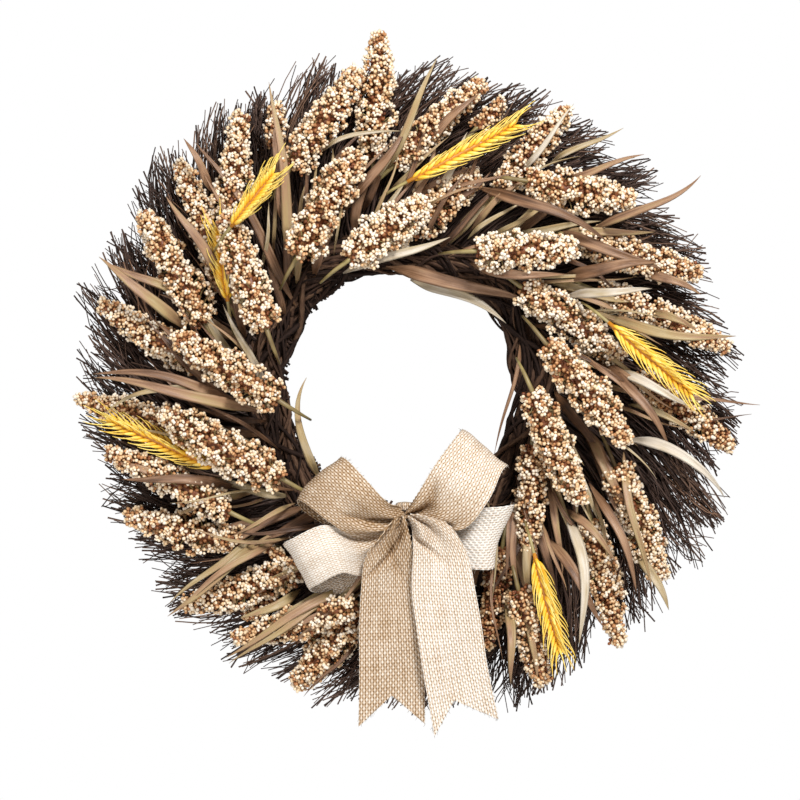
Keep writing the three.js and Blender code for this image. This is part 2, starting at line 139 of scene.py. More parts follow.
def side_vectors(paths):
    """Two unit vectors across each path at each point. The first is square to the path and to a fixed
    direction: the door's normal, or straight up on a path that runs towards the door."""
    along = unit(np.gradient(paths, axis=-2))
    overall = unit(paths[..., -1, :] - paths[..., 0, :])
    towards_door = np.abs(overall[..., 1]) > 0.8
    fixed = np.where(towards_door[..., None], [0.2, 0.0, 1.0], [0.0, 1.0, 0.0])[..., None, :]
    first = unit(np.cross(along, fixed))
    return first, np.cross(along, first)


def closed_faces(rows, sides):
    """Faces of a solid made of rows of points round it: four-sided ones between the rows, and three-sided
    ones that close the first and the last row on the two points that follow them."""
    i, j = np.meshgrid(np.arange(rows - 1), np.arange(sides), indexing="ij")
    a, b = i * sides + j, i * sides + (j + 1) % sides
    quads = np.stack([a, a + sides, b + sides, b], -1).reshape(-1, 4)
    k = np.arange(sides)
    after = (k + 1) % sides
    first, last = np.full(sides, rows * sides), (rows - 1) * sides
    caps = [np.stack([first, k, after], -1), np.stack([first + 1, last + after, last + k], -1)]
    return quads, np.concatenate(caps)


def many_solids(points, faces, tone, uv=None, slot=0):
    """Solids with the same faces as one surface. Points are given solid by solid, and the tone once for
    all, once for each solid or once for each point."""
    count, each = points.shape[:2]
    start = np.arange(count)[:, None, None] * each
    tone = np.reshape(tone, (-1, 1)) if np.ndim(tone) < 2 else tone
    tone = np.broadcast_to(np.asarray(tone, float), (count, each))
    return Surface(points, faces[0] + start, faces[1] + start, tone, uv, slot)


def tubes(paths, radii, sides, tone=0.5, slot=0):
    """Closed tubes, all with the same number of steps. A point is path + radius (cos a u + sin a w),
    where u and w are square to the path, and each end closes in a point."""
    paths = np.asarray(paths, float)
    count, steps = paths.shape[:2]
    radii = np.broadcast_to(radii, (count, steps))[..., None, None]
    first, second = side_vectors(paths)
    angle = np.arange(sides) * 2 * np.pi / sides
    spokes = np.cos(angle)[:, None] * first[:, :, None] + np.sin(angle)[:, None] * second[:, :, None]
    rings = (paths[:, :, None] + radii * spokes).reshape(count, steps * sides, 3)
    points = np.concatenate([rings, paths[:, :1], paths[:, -1:]], 1)
    length = np.concatenate([np.repeat(np.linspace(0, 1, steps), sides), [0, 1]])
    around = np.concatenate([np.tile(angle / (2 * np.pi), steps), [0, 0]])
    uv = np.broadcast_to(np.stack([around, length], -1), (*points.shape[:2], 2))
    return many_solids(points, closed_faces(steps, sides), tone, uv, slot)


def flip(surface):
    """The same surface with its faces turned round."""
    surface.quads = surface.quads[:, ::-1]
    surface.triangles = surface.triangles[:, ::-1]
    return surface


def ball_template(segments, rings):
    """A unit ball: points at even latitudes and longitudes, closed at both poles."""
    latitude = np.pi * np.arange(1, rings) / rings
    longitude = 2 * np.pi * np.arange(segments) / segments
    ring = np.stack([np.outer(np.sin(latitude), np.cos(longitude)),
                     np.outer(np.sin(latitude), np.sin(longitude)),
                     np.repeat(np.cos(latitude)[:, None], segments, 1)], -1).reshape(-1, 3)
    points = np.concatenate([ring, [[0, 0, 1], [0, 0, -1]]])
    return points, closed_faces(rings - 1, segments)


def balls(centres, radii, axes, stretch=1.0, tone=0.5, fade=0.0, segments=6, rings=3, narrow_tip=0.0):
    """Copies of the unit ball: each point is centre + radius times the ball's point, drawn out along its
    axis by stretch. narrow_tip thins the far end, and fade lifts the tone towards that end."""
    shape, faces = ball_template(segments, rings)
    count = len(centres)
    axes = unit(axes)
    helper = np.where(np.abs(axes[:, 2:3]) > 0.9, [[1.0, 0, 0]], [[0, 0, 1.0]])
    first = unit(np.cross(helper, axes))
    second = np.cross(axes, first)
    narrow = 1 - narrow_tip * (shape[:, 2] + 1) / 2
    local = (shape[:, 0] * narrow)[None, :, None] * first[:, None] \
        + (shape[:, 1] * narrow)[None, :, None] * second[:, None] \
        + stretch * shape[:, 2][None, :, None] * axes[:, None]
    points = centres[:, None] + np.broadcast_to(radii, (count,))[:, None, None] * local
    tone = np.broadcast_to(tone, (count,))[:, None] + fade * shape[:, 2]
    return many_solids(points, faces, tone)


# ---- shader maths --------------------
class Value:
    """A number that varies over a surface. Each operator adds one Math node."""

    def __init__(self, finish, socket):
        self.finish = finish
        self.socket = socket

    def maths(self, operation, *others):
        """A Math node of this value and others."""
        return self.finish.node("ShaderNodeMath", {"operation": operation}, {
            i: value for i, value in enumerate((self, *others))})

    def __add__(self, other):
        return self.maths("ADD", other)

    def __mul__(self, other):
        return self.maths("MULTIPLY", other)

    def __sub__(self, other):
        return self.maths("SUBTRACT", other)

    def __rsub__(self, other):
        return (self * -1.0) + other

    __radd__ = __add__
    __rmul__ = __mul__


class Finish:
    """A material under construction."""

    def __init__(self, name):
        self.material = bpy.data.materials.new(name)
        self.material.use_nodes = True
        self.tree = self.material.node_tree
        self.tree.nodes.clear()

    def node(self, kind, settings=None, sockets=None, output=0):
        """Adds a node: its settings first (a ramp's under "stops"), then its sockets' values or links."""
        node = self.tree.nodes.new(kind)
        for name, setting in (settings or {}).items():
            if name == "stops":
                self.set_stops(node.color_ramp, setting)
            else:
                setattr(node, name, setting)
        for name, value in (sockets or {}).items():
            if isinstance(value, Value):
                self.tree.links.new(value.socket, node.inputs[name])
            else:
                node.inputs[name].default_value = value
        return Value(self, node.outputs[output]) if len(node.outputs) else node

    @staticmethod
    def set_stops(ramp, stops):
        """Puts (position, colour) stops into a colour ramp."""
        while len(ramp.elements) < len(stops):
            ramp.elements.new(0.5)
        for element, (position, colour) in zip(ramp.elements, stops):
            element.position = position
            element.color = (*colour, 1)

    def ramp(self, value, stops):
        """A colour for each value."""
        return self.node("ShaderNodeValToRGB", {"stops": stops}, {"Fac": value})

    def tone(self):
        """The piece's own tone, from 0 to 1."""
        return self.node("ShaderNodeAttribute", {"attribute_name": "tone"}, output=2)

    def place(self):
        """Object coordinates, in metres."""
        return self.node("ShaderNodeTexCoord", output=3)

    def along(self):
        """The piece's own UV map."""
        return self.node("ShaderNodeUVMap", {"uv_map": "along"})

    def scaled(self, vector, scale):
        """A vector drawn out by a scale in each direction."""
        return self.node("ShaderNodeMapping", None, {"Vector": vector, "Scale": scale})

    def noise(self, vector, scale, detail=3.0):
        """Noise from 0 to 1."""
        return self.node("ShaderNodeTexNoise", None, {"Vector": vector, "Scale": scale, "Detail": detail})

    def mix(self, factor, first, second):
        """A blend of two colours."""
        return self.node("ShaderNodeMix", {"data_type": "RGBA"}, {0: factor, 6: first, 7: second}, output=2)

    def bump(self, height, distance, strength=1.0):
        """A normal tilted by a height, with its full height in metres."""
        return self.node("ShaderNodeBump", None, {
            "Height": height, "Distance": distance, "Strength": strength})

    def done(self, **sockets):
        """The surface shader. A socket's name has _ for each space."""
        named = {name.replace("_", " "): value for name, value in sockets.items()}
        shader = self.node("ShaderNodeBsdfPrincipled", None, named)
        output = self.tree.nodes.new("ShaderNodeOutputMaterial")
        self.tree.links.new(shader.socket, output.inputs["Surface"])
        return self.material


def rgba(red, green, blue):
    """A solid colour."""
    return (red, green, blue, 1.0)


def seed_finish():
    """Sorghum seeds: red brown through tan to cream, each a little blotched, with a satin gloss. The red
    brown end also carries the painted shade round the clusters' sides, in the inner seeds and on the core.
    """
    f = Finish("sorghum_seed")
    blotch = f.noise(f.place(), 900.0, 2.0)
    colour = f.ramp(f.tone() + (blotch - 0.5) * 0.28, [
        (0.0, (0.075, 0.018, 0.008)), (0.2, (0.23, 0.075, 0.026)), (0.4, (0.47, 0.225, 0.09)),
        (0.6, (0.7, 0.48, 0.26)), (0.8, (0.8, 0.655, 0.47)), (1.0, (0.86, 0.765, 0.64))])
    return f.done(Base_Color=colour, Roughness=0.36 + blotch * 0.2, Specular_IOR_Level=0.35,
                  Normal=f.bump(blotch, 0.0002, 0.4))


def stalk_finish():
    """Moulded stems: yellow green with paler and browner stretches."""
    f = Finish("stalk")
    streak = f.noise(f.scaled(f.place(), (90.0, 90.0, 90.0)), 1.0, 2.0)
    colour = f.ramp(streak * 0.6 + f.tone() * 0.4, [
        (0.2, (0.1, 0.06, 0.025)), (0.45, (0.2, 0.145, 0.055)), (0.75, (0.38, 0.31, 0.12))])
    return f.done(Base_Color=colour, Roughness=0.45, Normal=f.bump(streak, 0.0004, 0.5))


def twig_finish():
    """Broom twigs: near black brown to grey brown, some reddish, with fine bark lines."""
    f = Finish("twig")
    bark = f.noise(f.scaled(f.along(), (6.0, 60.0, 1.0)), 1.0, 3.0)
    colour = f.ramp(f.tone() * 0.8 + bark * 0.3, [
        (0.1, (0.014, 0.007, 0.005)), (0.4, (0.04, 0.022, 0.016)), (0.65, (0.09, 0.053, 0.04)),
        (0.85, (0.16, 0.095, 0.065)), (1.0, (0.3, 0.16, 0.09))])
    return f.done(Base_Color=colour, Roughness=0.55, Specular_IOR_Level=0.25,
                  Normal=f.bump(bark, 0.0003, 0.6))


def vine_finish():
    """Vine bark: dark red brown with long shallow cracks."""
    f = Finish("vine_bark")
    crack = f.noise(f.scaled(f.along(), (9.0, 150.0, 1.0)), 1.0, 4.0)
    colour = f.ramp(f.tone() * 0.55 + crack * 0.6, [
        (0.2, (0.009, 0.004, 0.003)), (0.5, (0.034, 0.017, 0.011)), (0.8, (0.09, 0.047, 0.028)),
        (1.0, (0.2, 0.12, 0.07))])
    return f.done(Base_Color=colour, Roughness=0.8, Specular_IOR_Level=0.2,
                  Normal=f.bump(crack, 0.0012, 0.8))


def leaf_finish():
    """Pressed leaf: fine lengthwise ribs, brown to olive to silver by tone, with a soft sheen."""
    f = Finish("grass_leaf")
    rib = f.noise(f.scaled(f.along(), (34.0, 1.5, 1.0)), 1.0, 2.0)
    fade = f.noise(f.scaled(f.along(), (1.4, 3.2, 1.0)), 1.0, 2.0)
    colour = f.ramp(f.tone() + (rib - 0.5) * 0.6 + (fade - 0.5) * 0.8, [
        (0.0, (0.06, 0.026, 0.012)), (0.2, (0.18, 0.09, 0.045)), (0.4, (0.34, 0.195, 0.11)),
        (0.6, (0.36, 0.26, 0.115)), (0.8, (0.46, 0.37, 0.24)), (1.0, (0.6, 0.53, 0.44))])
    return f.done(Base_Color=colour, Roughness=0.27 + rib * 0.3, Specular_IOR_Level=0.45,
                  Normal=f.bump(rib, 0.0003, 0.7))


def grain_finish():
    """Wheat grains: warm yellow to orange of their own, with deeper orange low tones that are painted shade
    where each grain tucks in at its base.
    """
    f = Finish("wheat_grain")
    vein = f.noise(f.place(), 700.0, 2.0)
    colour = f.ramp(f.tone() + (vein - 0.5) * 0.3, [
        (0.0, (0.4, 0.14, 0.01)), (0.3, (0.76, 0.35, 0.016)), (0.62, (0.88, 0.52, 0.035)),
        (1.0, (0.9, 0.72, 0.2))])
    return f.done(Base_Color=colour, Roughness=0.4, Normal=f.bump(vein, 0.0003, 0.5))


def burlap_finish():
    """Jute cloth in plain weave. cos(pi u) cos(pi v), with u and v counted in threads, is 1 where a
    lengthwise thread lies on top and -1 where a crosswise one does. The colour follows it as painted light:
    a painted highlight on the raised crossings, and painted shade on the sunken ones and in the seams between
    threads.
    Low tones are painted shade: the warmer, darker colour the cloth shows deep in a gather, inside a loop and
    in a crease."""
    f = Finish("burlap")
    along = f.along()
    threads = f.scaled(along, (1 / WARP_PITCH, 1 / WEFT_PITCH, 1.0))
    weft = f.noise(f.scaled(along, (30.0, 1 / WEFT_PITCH, 1.0)), 1.0, 1.0)
    warp = f.noise(f.scaled(along, (1 / WARP_PITCH, 30.0, 1.0)), 1.0, 1.0)
    split = f.node("ShaderNodeSeparateXYZ", None, {"Vector": threads})
    across = f.node("ShaderNodeSeparateXYZ", None, {"Vector": threads}, output=1)
    wave_u = (split * math.pi).maths("COSINE")
    wave_v = (across * math.pi).maths("COSINE")
    seam_u = 1.0 - wave_u.maths("ABSOLUTE")
    seam_v = 1.0 - wave_v.maths("ABSOLUTE")
    fuzz = f.noise(along, 2600.0, 2.0)
    # Painted light and shade in the weave: wave_u * wave_v lights the raised crossings and shades the sunken
    # ones, and the seam terms on the next line paint shade between the threads.
    shade = 0.66 + wave_u * wave_v * 0.13 + (weft + warp - 1.0) * 0.3 + (fuzz - 0.5) * 0.2
    shade = shade - seam_u * seam_u * 0.3 - seam_u * seam_v * 0.5 + (f.tone() - 0.5)
    colour = f.ramp(shade, [
        (0.0, (0.12, 0.06, 0.025)), (0.25, (0.36, 0.225, 0.115)), (0.45, (0.58, 0.45, 0.325)),
        (0.65, (0.76, 0.68, 0.59)), (0.85, (0.87, 0.835, 0.785))])
    return f.done(Base_Color=colour, Roughness=0.92, Specular_IOR_Level=0.15,
                  Normal=f.bump(fuzz + wave_u * wave_v * 0.6, 0.0006, 0.8))


def metal_finish(name, dark, light, roughness):
    """Drawn wire: two near shades in fine streaks."""
    f = Finish(name)
    streak = f.noise(f.place(), 400.0, 3.0)
    return f.done(Base_Color=f.mix(streak, rgba(*dark), rgba(*light)), Metallic=0.9,
                  Roughness=roughness + streak * 0.2, Normal=f.bump(streak, 0.0002, 0.3))


WARP_PITCH = 2.0 * MM            # lengthwise threads of the burlap
WEFT_PITCH = 2.3 * MM            # crosswise threads

SEEDS = seed_finish()
STALK = stalk_finish()
TWIG = twig_finish()
VINE = vine_finish()
LEAF = leaf_finish()
GRAIN = grain_finish()
BURLAP = burlap_finish()
STEEL = metal_finish("steel_wire", (0.32, 0.32, 0.33), (0.52, 0.52, 0.52), 0.3)
DARK_WIRE = metal_finish("binding_wire", (0.02, 0.014, 0.012), (0.07, 0.05, 0.04), 0.4)


# ---- vine ring --------------------
# Thick vines inside, then thin ones: how many, the nearest and furthest share of the bundle's radius they
# lie at, the least and most radius in millimetres, the most turns plus one, and sides.
VINES = [(10, 0.0, 0.7, 4.0, 6.0, 3, 6), (56, 0.6, 1.12, 0.8, 2.2, 5, 4)]
VINE_BUNDLE = 16 * MM
VINE_STEPS = 220


def vine_ring():
    """Vines wound round the ring: each is a circle of the ring's radius plus a small circle that turns
    about it several times, so the vines cross over and under one another."""
    rng = np.random.default_rng(SEED)
    around = np.linspace(0, 2 * np.pi, VINE_STEPS)
    surfaces = []
    for count, near, far, thin, wide, spins, sides in VINES:
        wobble = 0.2 * np.sin(around * rng.integers(4, 13, (count, 1)) + rng.uniform(0, 6, (count, 1)))
        turns = rng.integers(1, spins, (count, 1)) * rng.choice([-1, 1], (count, 1))
        winding = turns * around + rng.uniform(0, 2 * np.pi, (count, 1)) + wobble
        swell = 1 + 0.12 * np.sin(around * rng.integers(5, 11, (count, 1)) + rng.uniform(0, 6, (count, 1)))
        reach = VINE_BUNDLE * rng.uniform(near, far, (count, 1)) * swell
        radius = VINE_RADIUS - 2 * MM + reach * np.cos(winding)
        depth = 22 * MM + reach * 0.72 * np.sin(winding)
        clock = around[None] + rng.uniform(0, 6, (count, 1))
        behind_bow = np.exp(2.6 * (np.cos(clock - math.pi) - 1))
        paths = clock_place(clock, radius + 8 * MM * behind_bow - 4 * MM * np.sin(clock), depth)
        thick = rng.uniform(thin, wide, (count, 1)) * MM * (1 + 0.14 * np.sin(around * 23 + 40 * wobble))
        surfaces.append(tubes(paths, thick, sides, rng.uniform(0, 1, count)))
    make_piece("vine_ring", surfaces, [VINE], replaces=["vine_base"])


# ---- twigs --------------------
TUFTS_IN_FAN = 13               # tufts in each sixth of the wreath: their tips make its ragged rim
LEADERS = 8                     # main twigs in a tuft
SHOOTS = 5                      # side shoots on a main twig
LOW_TWIGS = 700                 # short twigs in each sixth
FANS = 6


def twig_tufts():
    """Broom twigs. A main twig leaves the vine ring and runs outwards while it turns clockwise, its clock
    angle growing with its radius. The main twigs of a tuft start apart and draw together at its tip."""
    rng = np.random.default_rng(SEED + 1)
    t = np.linspace(0, 1, 14)
    for fan in range(FANS):
        tuft = np.repeat(np.arange(TUFTS_IN_FAN), LEADERS)
        count = len(tuft)
        start = 2 * np.pi * (fan + (tuft + 0.5) / TUFTS_IN_FAN) / FANS
        reach = rng.uniform(244, 266, TUFTS_IN_FAN)[tuft] * MM
        reach = reach - 5 * MM * np.cos(2 * (start - math.radians(15)))
        turn_to = math.radians(26) + rng.normal(0, 0.03, TUFTS_IN_FAN)[tuft]
        tip_depth = rng.uniform(10, 40, TUFTS_IN_FAN)[tuft] * MM
        first_clock = start + rng.normal(0, 0.06, count)
        last_clock = start + turn_to + rng.normal(0, 0.02, count)
        first_radius = rng.uniform(92, 126, count) * MM
        last_radius = reach - np.abs(rng.normal(0, 8, count)) * MM
        bow = rng.normal(0, 0.05, (count, 1)) * np.sin(np.pi * t)
        waves = rng.uniform(2.5, 6.5, (count, 1))
        kink = rng.normal(0, 0.011, (count, 1)) * np.sin(waves * np.pi * t + rng.uniform(0, 6, (count, 1)))
        clock = first_clock[:, None] + (last_clock - first_clock)[:, None] * t ** 0.85 + bow + kink
        radius = first_radius[:, None] + (last_radius - first_radius)[:, None] * t
        first_depth = rng.uniform(8, 24, count) * MM
        last_depth = np.maximum(tip_depth + rng.normal(0, 4, count) * MM, 6 * MM)
        depth = first_depth[:, None] + (last_depth - first_depth)[:, None] * t
        paths = clock_place(clock, radius, depth)
        thick = rng.uniform(0.95, 1.5, (count, 1)) * MM * (1 - 0.55 * t)
        tone = rng.beta(2, 2.4, count)
        pieces = [tubes(paths, thick, 4, tone), side_shoots(rng, paths, tone), low_twigs(rng, fan)]
        make_piece(f"twigs_{fan + 1}", pieces, [TWIG], replaces=[f"twig_fan_{fan + 1}"])


def side_shoots(rng, paths, tone):
    """Side shoots: each leaves its main twig, bows away from it and ends near its tip. A shoot is a
    quadratic curve with a small sideways ripple."""
    parents = np.repeat(np.arange(len(paths)), SHOOTS)
    leave = rng.integers(2, 10, len(parents))
    origin = paths[parents, leave]
    heading = unit(paths[parents, leave + 1] - origin)
    tip = paths[parents, -1]
    outward = unit(tip - place(0, 0, 0)) * [1, 0, 1]
    sideways = unit(np.cross(outward, [0, 1, 0]))
    back = np.abs(rng.normal(0, 15, (len(parents), 1))) * MM
    end = tip - outward * back + sideways * rng.normal(0, 8, (len(parents), 1)) * MM
    end[:, 1] = np.minimum(end[:, 1] + rng.normal(0, 5, len(parents)) * MM, DOOR_Y - 3 * MM)
    length = np.linalg.norm(end - origin, axis=-1, keepdims=True)
    bend = origin + heading * length * 0.5 + sideways * rng.normal(0, 0.17, (len(parents), 1)) * length
    t = np.linspace(0, 1, 9)[None, :, None]
    route = (1 - t) ** 2 * origin[:, None] + 2 * t * (1 - t) * bend[:, None] + t ** 2 * end[:, None]
    ripple = np.sin(rng.uniform(5, 11, (len(parents), 1, 1)) * t + rng.uniform(0, 6, (len(parents), 1, 1)))
    route = route + ripple * t * sideways[:, None] * rng.uniform(0.4, 2.6, (len(parents), 1, 1)) * MM
    return tubes(route, np.linspace(0.8, 0.42, 9) * MM, 3, np.clip(tone[parents] + 0.06, 0, 1))


def low_twigs(rng, fan):
    """Short twigs that fill the wreath between its ring and the rim."""
    count = LOW_TWIGS
    t = np.linspace(0, 1, 7)
    clock = 2 * np.pi * (fan + rng.uniform(0, 1, (count, 1))) / FANS
    first, last = rng.uniform(90, 130, (count, 1)) * MM, rng.uniform(165, 240, (count, 1)) * MM
    lean = (last - first) / MM * rng.uniform(0.0024, 0.0044, (count, 1))
    depth = (rng.uniform(8, 24, (count, 1)) + rng.uniform(-4, 18, (count, 1)) * t) * MM
    paths = clock_place(clock + lean * t + rng.normal(0, 0.04, (count, 1)) * np.sin(np.pi * t),
                        first + (last - first) * t, depth)
    return tubes(paths, rng.uniform(0.9, 1.6, (count, 1)) * MM * (1 - 0.6 * t), 3, rng.beta(2, 4, count))


# ---- seed heads --------------------
def axis_of(node):
    """Base, tip and width of a turned solid, from its own points: the base is the end nearer the ring."""
    points = np.array([v.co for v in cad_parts[node].data.vertices], float)
    middle = points.mean(0)
    direction = np.linalg.svd(points - middle, full_matrices=False)[2][0]
    along = (points - middle) @ direction
    ends = [middle + direction * along.min(), middle + direction * along.max()]
    centre = place(0, 0, 0)
    flat = [math.hypot(end[0] - centre[0], end[2] - centre[2]) for end in ends]
    if flat[0] > flat[1]:
        ends.reverse()
    off = (points - middle) - np.outer(along, direction)
    return ends[0], ends[1], 2 * np.linalg.norm(off, axis=1).max()


STEM_SHOWN = 12 * MM            # bare stem below a head or an ear
CLUSTERS = 0.038                # clusters for each square millimetre of a head
CLUSTER_SEEDS = 11
CREAM, TAN, BROWN = 0.98, 0.87, 0.68
SEED_RADII = (1.05, 1.7)        # least and most, in millimetres
INNER_SEED = 1.9 * MM
CORE_SHARE = 0.4                # the core's width as a share of the head's


def across_axis(direction):
    """Two unit vectors square to a direction."""
    first = unit(np.cross(direction, [0.31, 0.9, 0.29]))
    return first, np.cross(direction, first)


def round_axis(angle, first, second):
    """Unit vectors at angles round an axis, from the two that are square to it."""
    angle = np.reshape(angle, (-1, 1))
    return np.cos(angle) * first + np.sin(angle) * second


def above_stem(root, tip):
    """Direction of a head or an ear, the point where its bare stem ends, and its length above that."""
    total = np.linalg.norm(tip - root)
    direction = (tip - root) / total
    return direction, root + direction * STEM_SHOWN, total - STEM_SHOWN


def head_envelope(t):
    """A head's half-width along its length, as a share: quick at the base, full in the middle, blunt tip."""
    return np.sin(np.pi * np.clip(0.12 + 0.8 * t ** 0.85, 0, 1)) ** 0.6 * (1 - 0.16 * t)


def dive(root, direction):
    """A stem from a head's base back along its direction and down into the twigs behind."""
    behind = np.array([0.0, 1.0, 0.0])
    return [root - direction * 16 * MM + behind * 20 * MM, root - direction * 9 * MM + behind * 8 * MM,
            root - direction * 3 * MM + behind * 1.5 * MM]


def cluster_layout(spine, length, width, outer, rng):
    """Where a head's clusters sit, which way they face and how far up it they are: a golden-angle spiral
    over the envelope, with each cluster at its own depth. The ones turned to the door are left out."""
    direction, first, second = outer
    clusters = int(round(CLUSTERS * (length / MM) * (width / MM)))
    k = np.arange(clusters)
    t = (k + 0.5) / clusters * 0.98 + 0.01 + rng.normal(0, 0.01, clusters)
    angle = k * GOLDEN_ANGLE + rng.normal(0, 0.2, clusters)
    outward = round_axis(angle, first, second)
    lumps = 1 + 0.1 * np.sin(9 * t + 2 * angle + rng.uniform(0, 6)) + rng.uniform(-0.34, 0.2, clusters)
    reach = (width / 2 * head_envelope(np.clip(t, 0, 1)) - 1.8 * MM) * lumps
    reach = np.maximum(reach, 0.6 * MM)
    centres = spine(t) + outward * reach[:, None]
    tipwards = 0.3 + 1.2 * smooth(0.8, 1.0, t)
    facing = unit(outward * (1 - 0.5 * smooth(0.7, 1.0, t))[:, None] + direction * tipwards[:, None])
    shown = facing[:, 1] < 0.65
    return centres[shown], facing[shown], t[shown]


def cluster_seeds(centres, facing, direction, tint, rng):
    """The seeds of each cluster, on a smaller golden-angle spiral over the outer half of a ball. They are
    palest where the cluster faces and darker round its sides, which is painted shade between the clusters."""
    each = (len(centres), CLUSTER_SEEDS)
    seed = np.arange(CLUSTER_SEEDS)
    polar = np.arccos(1 - 1.15 * (seed + 0.3) / CLUSTER_SEEDS) + rng.normal(0, 0.2, each)
    spin = seed * GOLDEN_ANGLE + rng.uniform(0, 6.3, (len(centres), 1)) + rng.normal(0, 0.3, each)
    side_a = unit(np.cross(facing, direction + 0.01))
    side_b = np.cross(facing, side_a)
    ray = np.cos(polar)[..., None] * facing[:, None] + (
        np.sin(polar) * np.cos(spin))[..., None] * side_a[:, None] + (
        np.sin(polar) * np.sin(spin))[..., None] * side_b[:, None]
    off = rng.uniform(2.2, 4.3, (*each, 1)) * MM
    seeds = (centres[:, None] + ray * off).reshape(-1, 3)
    size = rng.uniform(*SEED_RADII, len(seeds)) * MM
    cluster_tone = rng.choice([CREAM, TAN, BROWN], len(centres), p=[0.44, 0.36, 0.2]) + tint
    # Painted shade: a seed is darker the further round its cluster's side it sits, and fade darkens it
    # towards its inner end and pales it towards its outer end.
    tone = cluster_tone[:, None] - 0.44 * (1 - np.cos(polar)) + rng.normal(0, 0.14, each)
    return balls(seeds, size, ray.reshape(-1, 3), 1.1, np.clip(tone.ravel(), 0.03, 1.0), fade=0.1)


def inner_seeds(spine, width, clusters, outer, rng):
    """A layer of larger seeds close round the core, on a golden-angle spiral, darker as painted shade deep in
    the head.
    """
    _, first, second = outer
    t = (np.arange(2 * clusters) + 0.5) / (2 * clusters)
    away = round_axis(np.arange(2 * clusters) * GOLDEN_ANGLE, first, second)
    reach = (width / 2 * head_envelope(t) * 0.46)[:, None]
    # Low tones here are painted shade under the clusters.
    tone = np.clip(rng.normal(0.3, 0.12, len(t)), 0.08, 0.7)
    return balls(spine(t) + away * reach, np.full(len(t), INNER_SEED), away, 1.0, tone)


def seed_head(name, ends, tint, rng, replaces=()):
    """A stem, a core along a slightly bent spine, and clusters of seeds round it on short branchlets.
    The spine is a straight line plus 4 t (1 - t) times the bend."""
    root, tip, width = ends
    direction, base, length = above_stem(root, tip)
    first, second = across_axis(direction)
    bend = rng.uniform(-2.6, 2.6, 2) * MM

    def spine(t):
        t = np.asarray(t)[..., None]
        return base + direction * length * t + 4 * t * (1 - t) * (first * bend[0] + second * bend[1])

    outer = (direction, first, second)
    centres, facing, t = cluster_layout(spine, length, width, outer, rng)
    clusters = len(centres)
    seeds = cluster_seeds(centres, facing, direction, tint, rng)
    origin = spine(np.clip(t - 0.1 - 0.05 * rng.uniform(0, 1, clusters), 0.0, 1))
    u = np.linspace(0, 1, 4)[None, :, None]
    branchlets = origin[:, None] + (centres - origin)[:, None] * u + (
        np.sin(np.pi * u) * direction * length * 0.03)
    thin = tubes(branchlets, np.array([0.6, 0.55, 0.5, 0.4]) * MM, 4, rng.uniform(0.2, 0.9, clusters), slot=1)
    core_t = np.linspace(0, 1, 12)
    core_r = width / 2 * head_envelope(core_t) * CORE_SHARE
    core_r[0] = 1.5 * MM
    # The core's low tone is painted shade: it shows as the dark red brown in the gaps between the seeds.
    core = tubes(spine(core_t)[None], core_r[None], 10, 0.14)
    low_seeds = inner_seeds(spine, width, clusters, outer, rng)
    stem_path = np.concatenate([dive(root, direction), spine([-0.02, 0.08])])
    stem = tubes(stem_path[None], np.array([0.9, 1.2, 1.5, 1.8, 1.6]) * MM, 8, rng.uniform(0.1, 0.9), slot=1)
    make_piece(name, [seeds, low_seeds, thin, core, stem], [SEEDS, STALK],
               replaces=replaces)


# How much paler or darker each head is than the usual cream and tan, by head number.
HEAD_TINTS = {2: 0.12, 4: 0.12, 7: -0.04, 8: -0.06, 11: -0.04, 12: -0.06, 13: -0.26, 14: -0.12,
              16: -0.04, 22: -0.03, 30: 0.12, 32: -0.04}

# Small heads low down between the others: clock, radius of the base, lean, length, width and depth.
SMALL_HEADS = [(210, 180, 25, 40, 15, 40), (128, 190, 34, 46, 17, 38), (236, 196, 40, 42, 17, 38),
               (42, 196, 50, 42, 16, 36), (14, 196, 30, 40, 16, 36), (330, 200, 30, 44, 17, 36),
               (170, 204, 0, 38, 16, 34), (209, 164, 97, 32, 12, 54)]


def seed_heads():
    """A head on each sorghum node, and the small ones low down."""
    rng = np.random.default_rng(SEED + 2)
    nodes = sorted(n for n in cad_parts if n.startswith("sorghum_head_"))
    for number, node in enumerate(nodes, 1):
        seed_head(f"sorghum_{number:02d}", axis_of(node), HEAD_TINTS.get(number, 0.0), rng, [node])
    for number, (clock, radius, lean, length, width, depth) in enumerate(SMALL_HEADS, 1):
        base = clock_place(math.radians(clock), radius * MM, depth * MM)
        turn = math.radians(clock + lean)
        tip = base + np.array([math.sin(turn), 0.06, math.cos(turn)]) * length * MM
        seed_head(f"small_sorghum_{number}", (base, tip, width * MM), -0.08, rng)


# ---- wheat ears --------------------
WHORLS = 15
GRAINS_IN_WHORL = 4


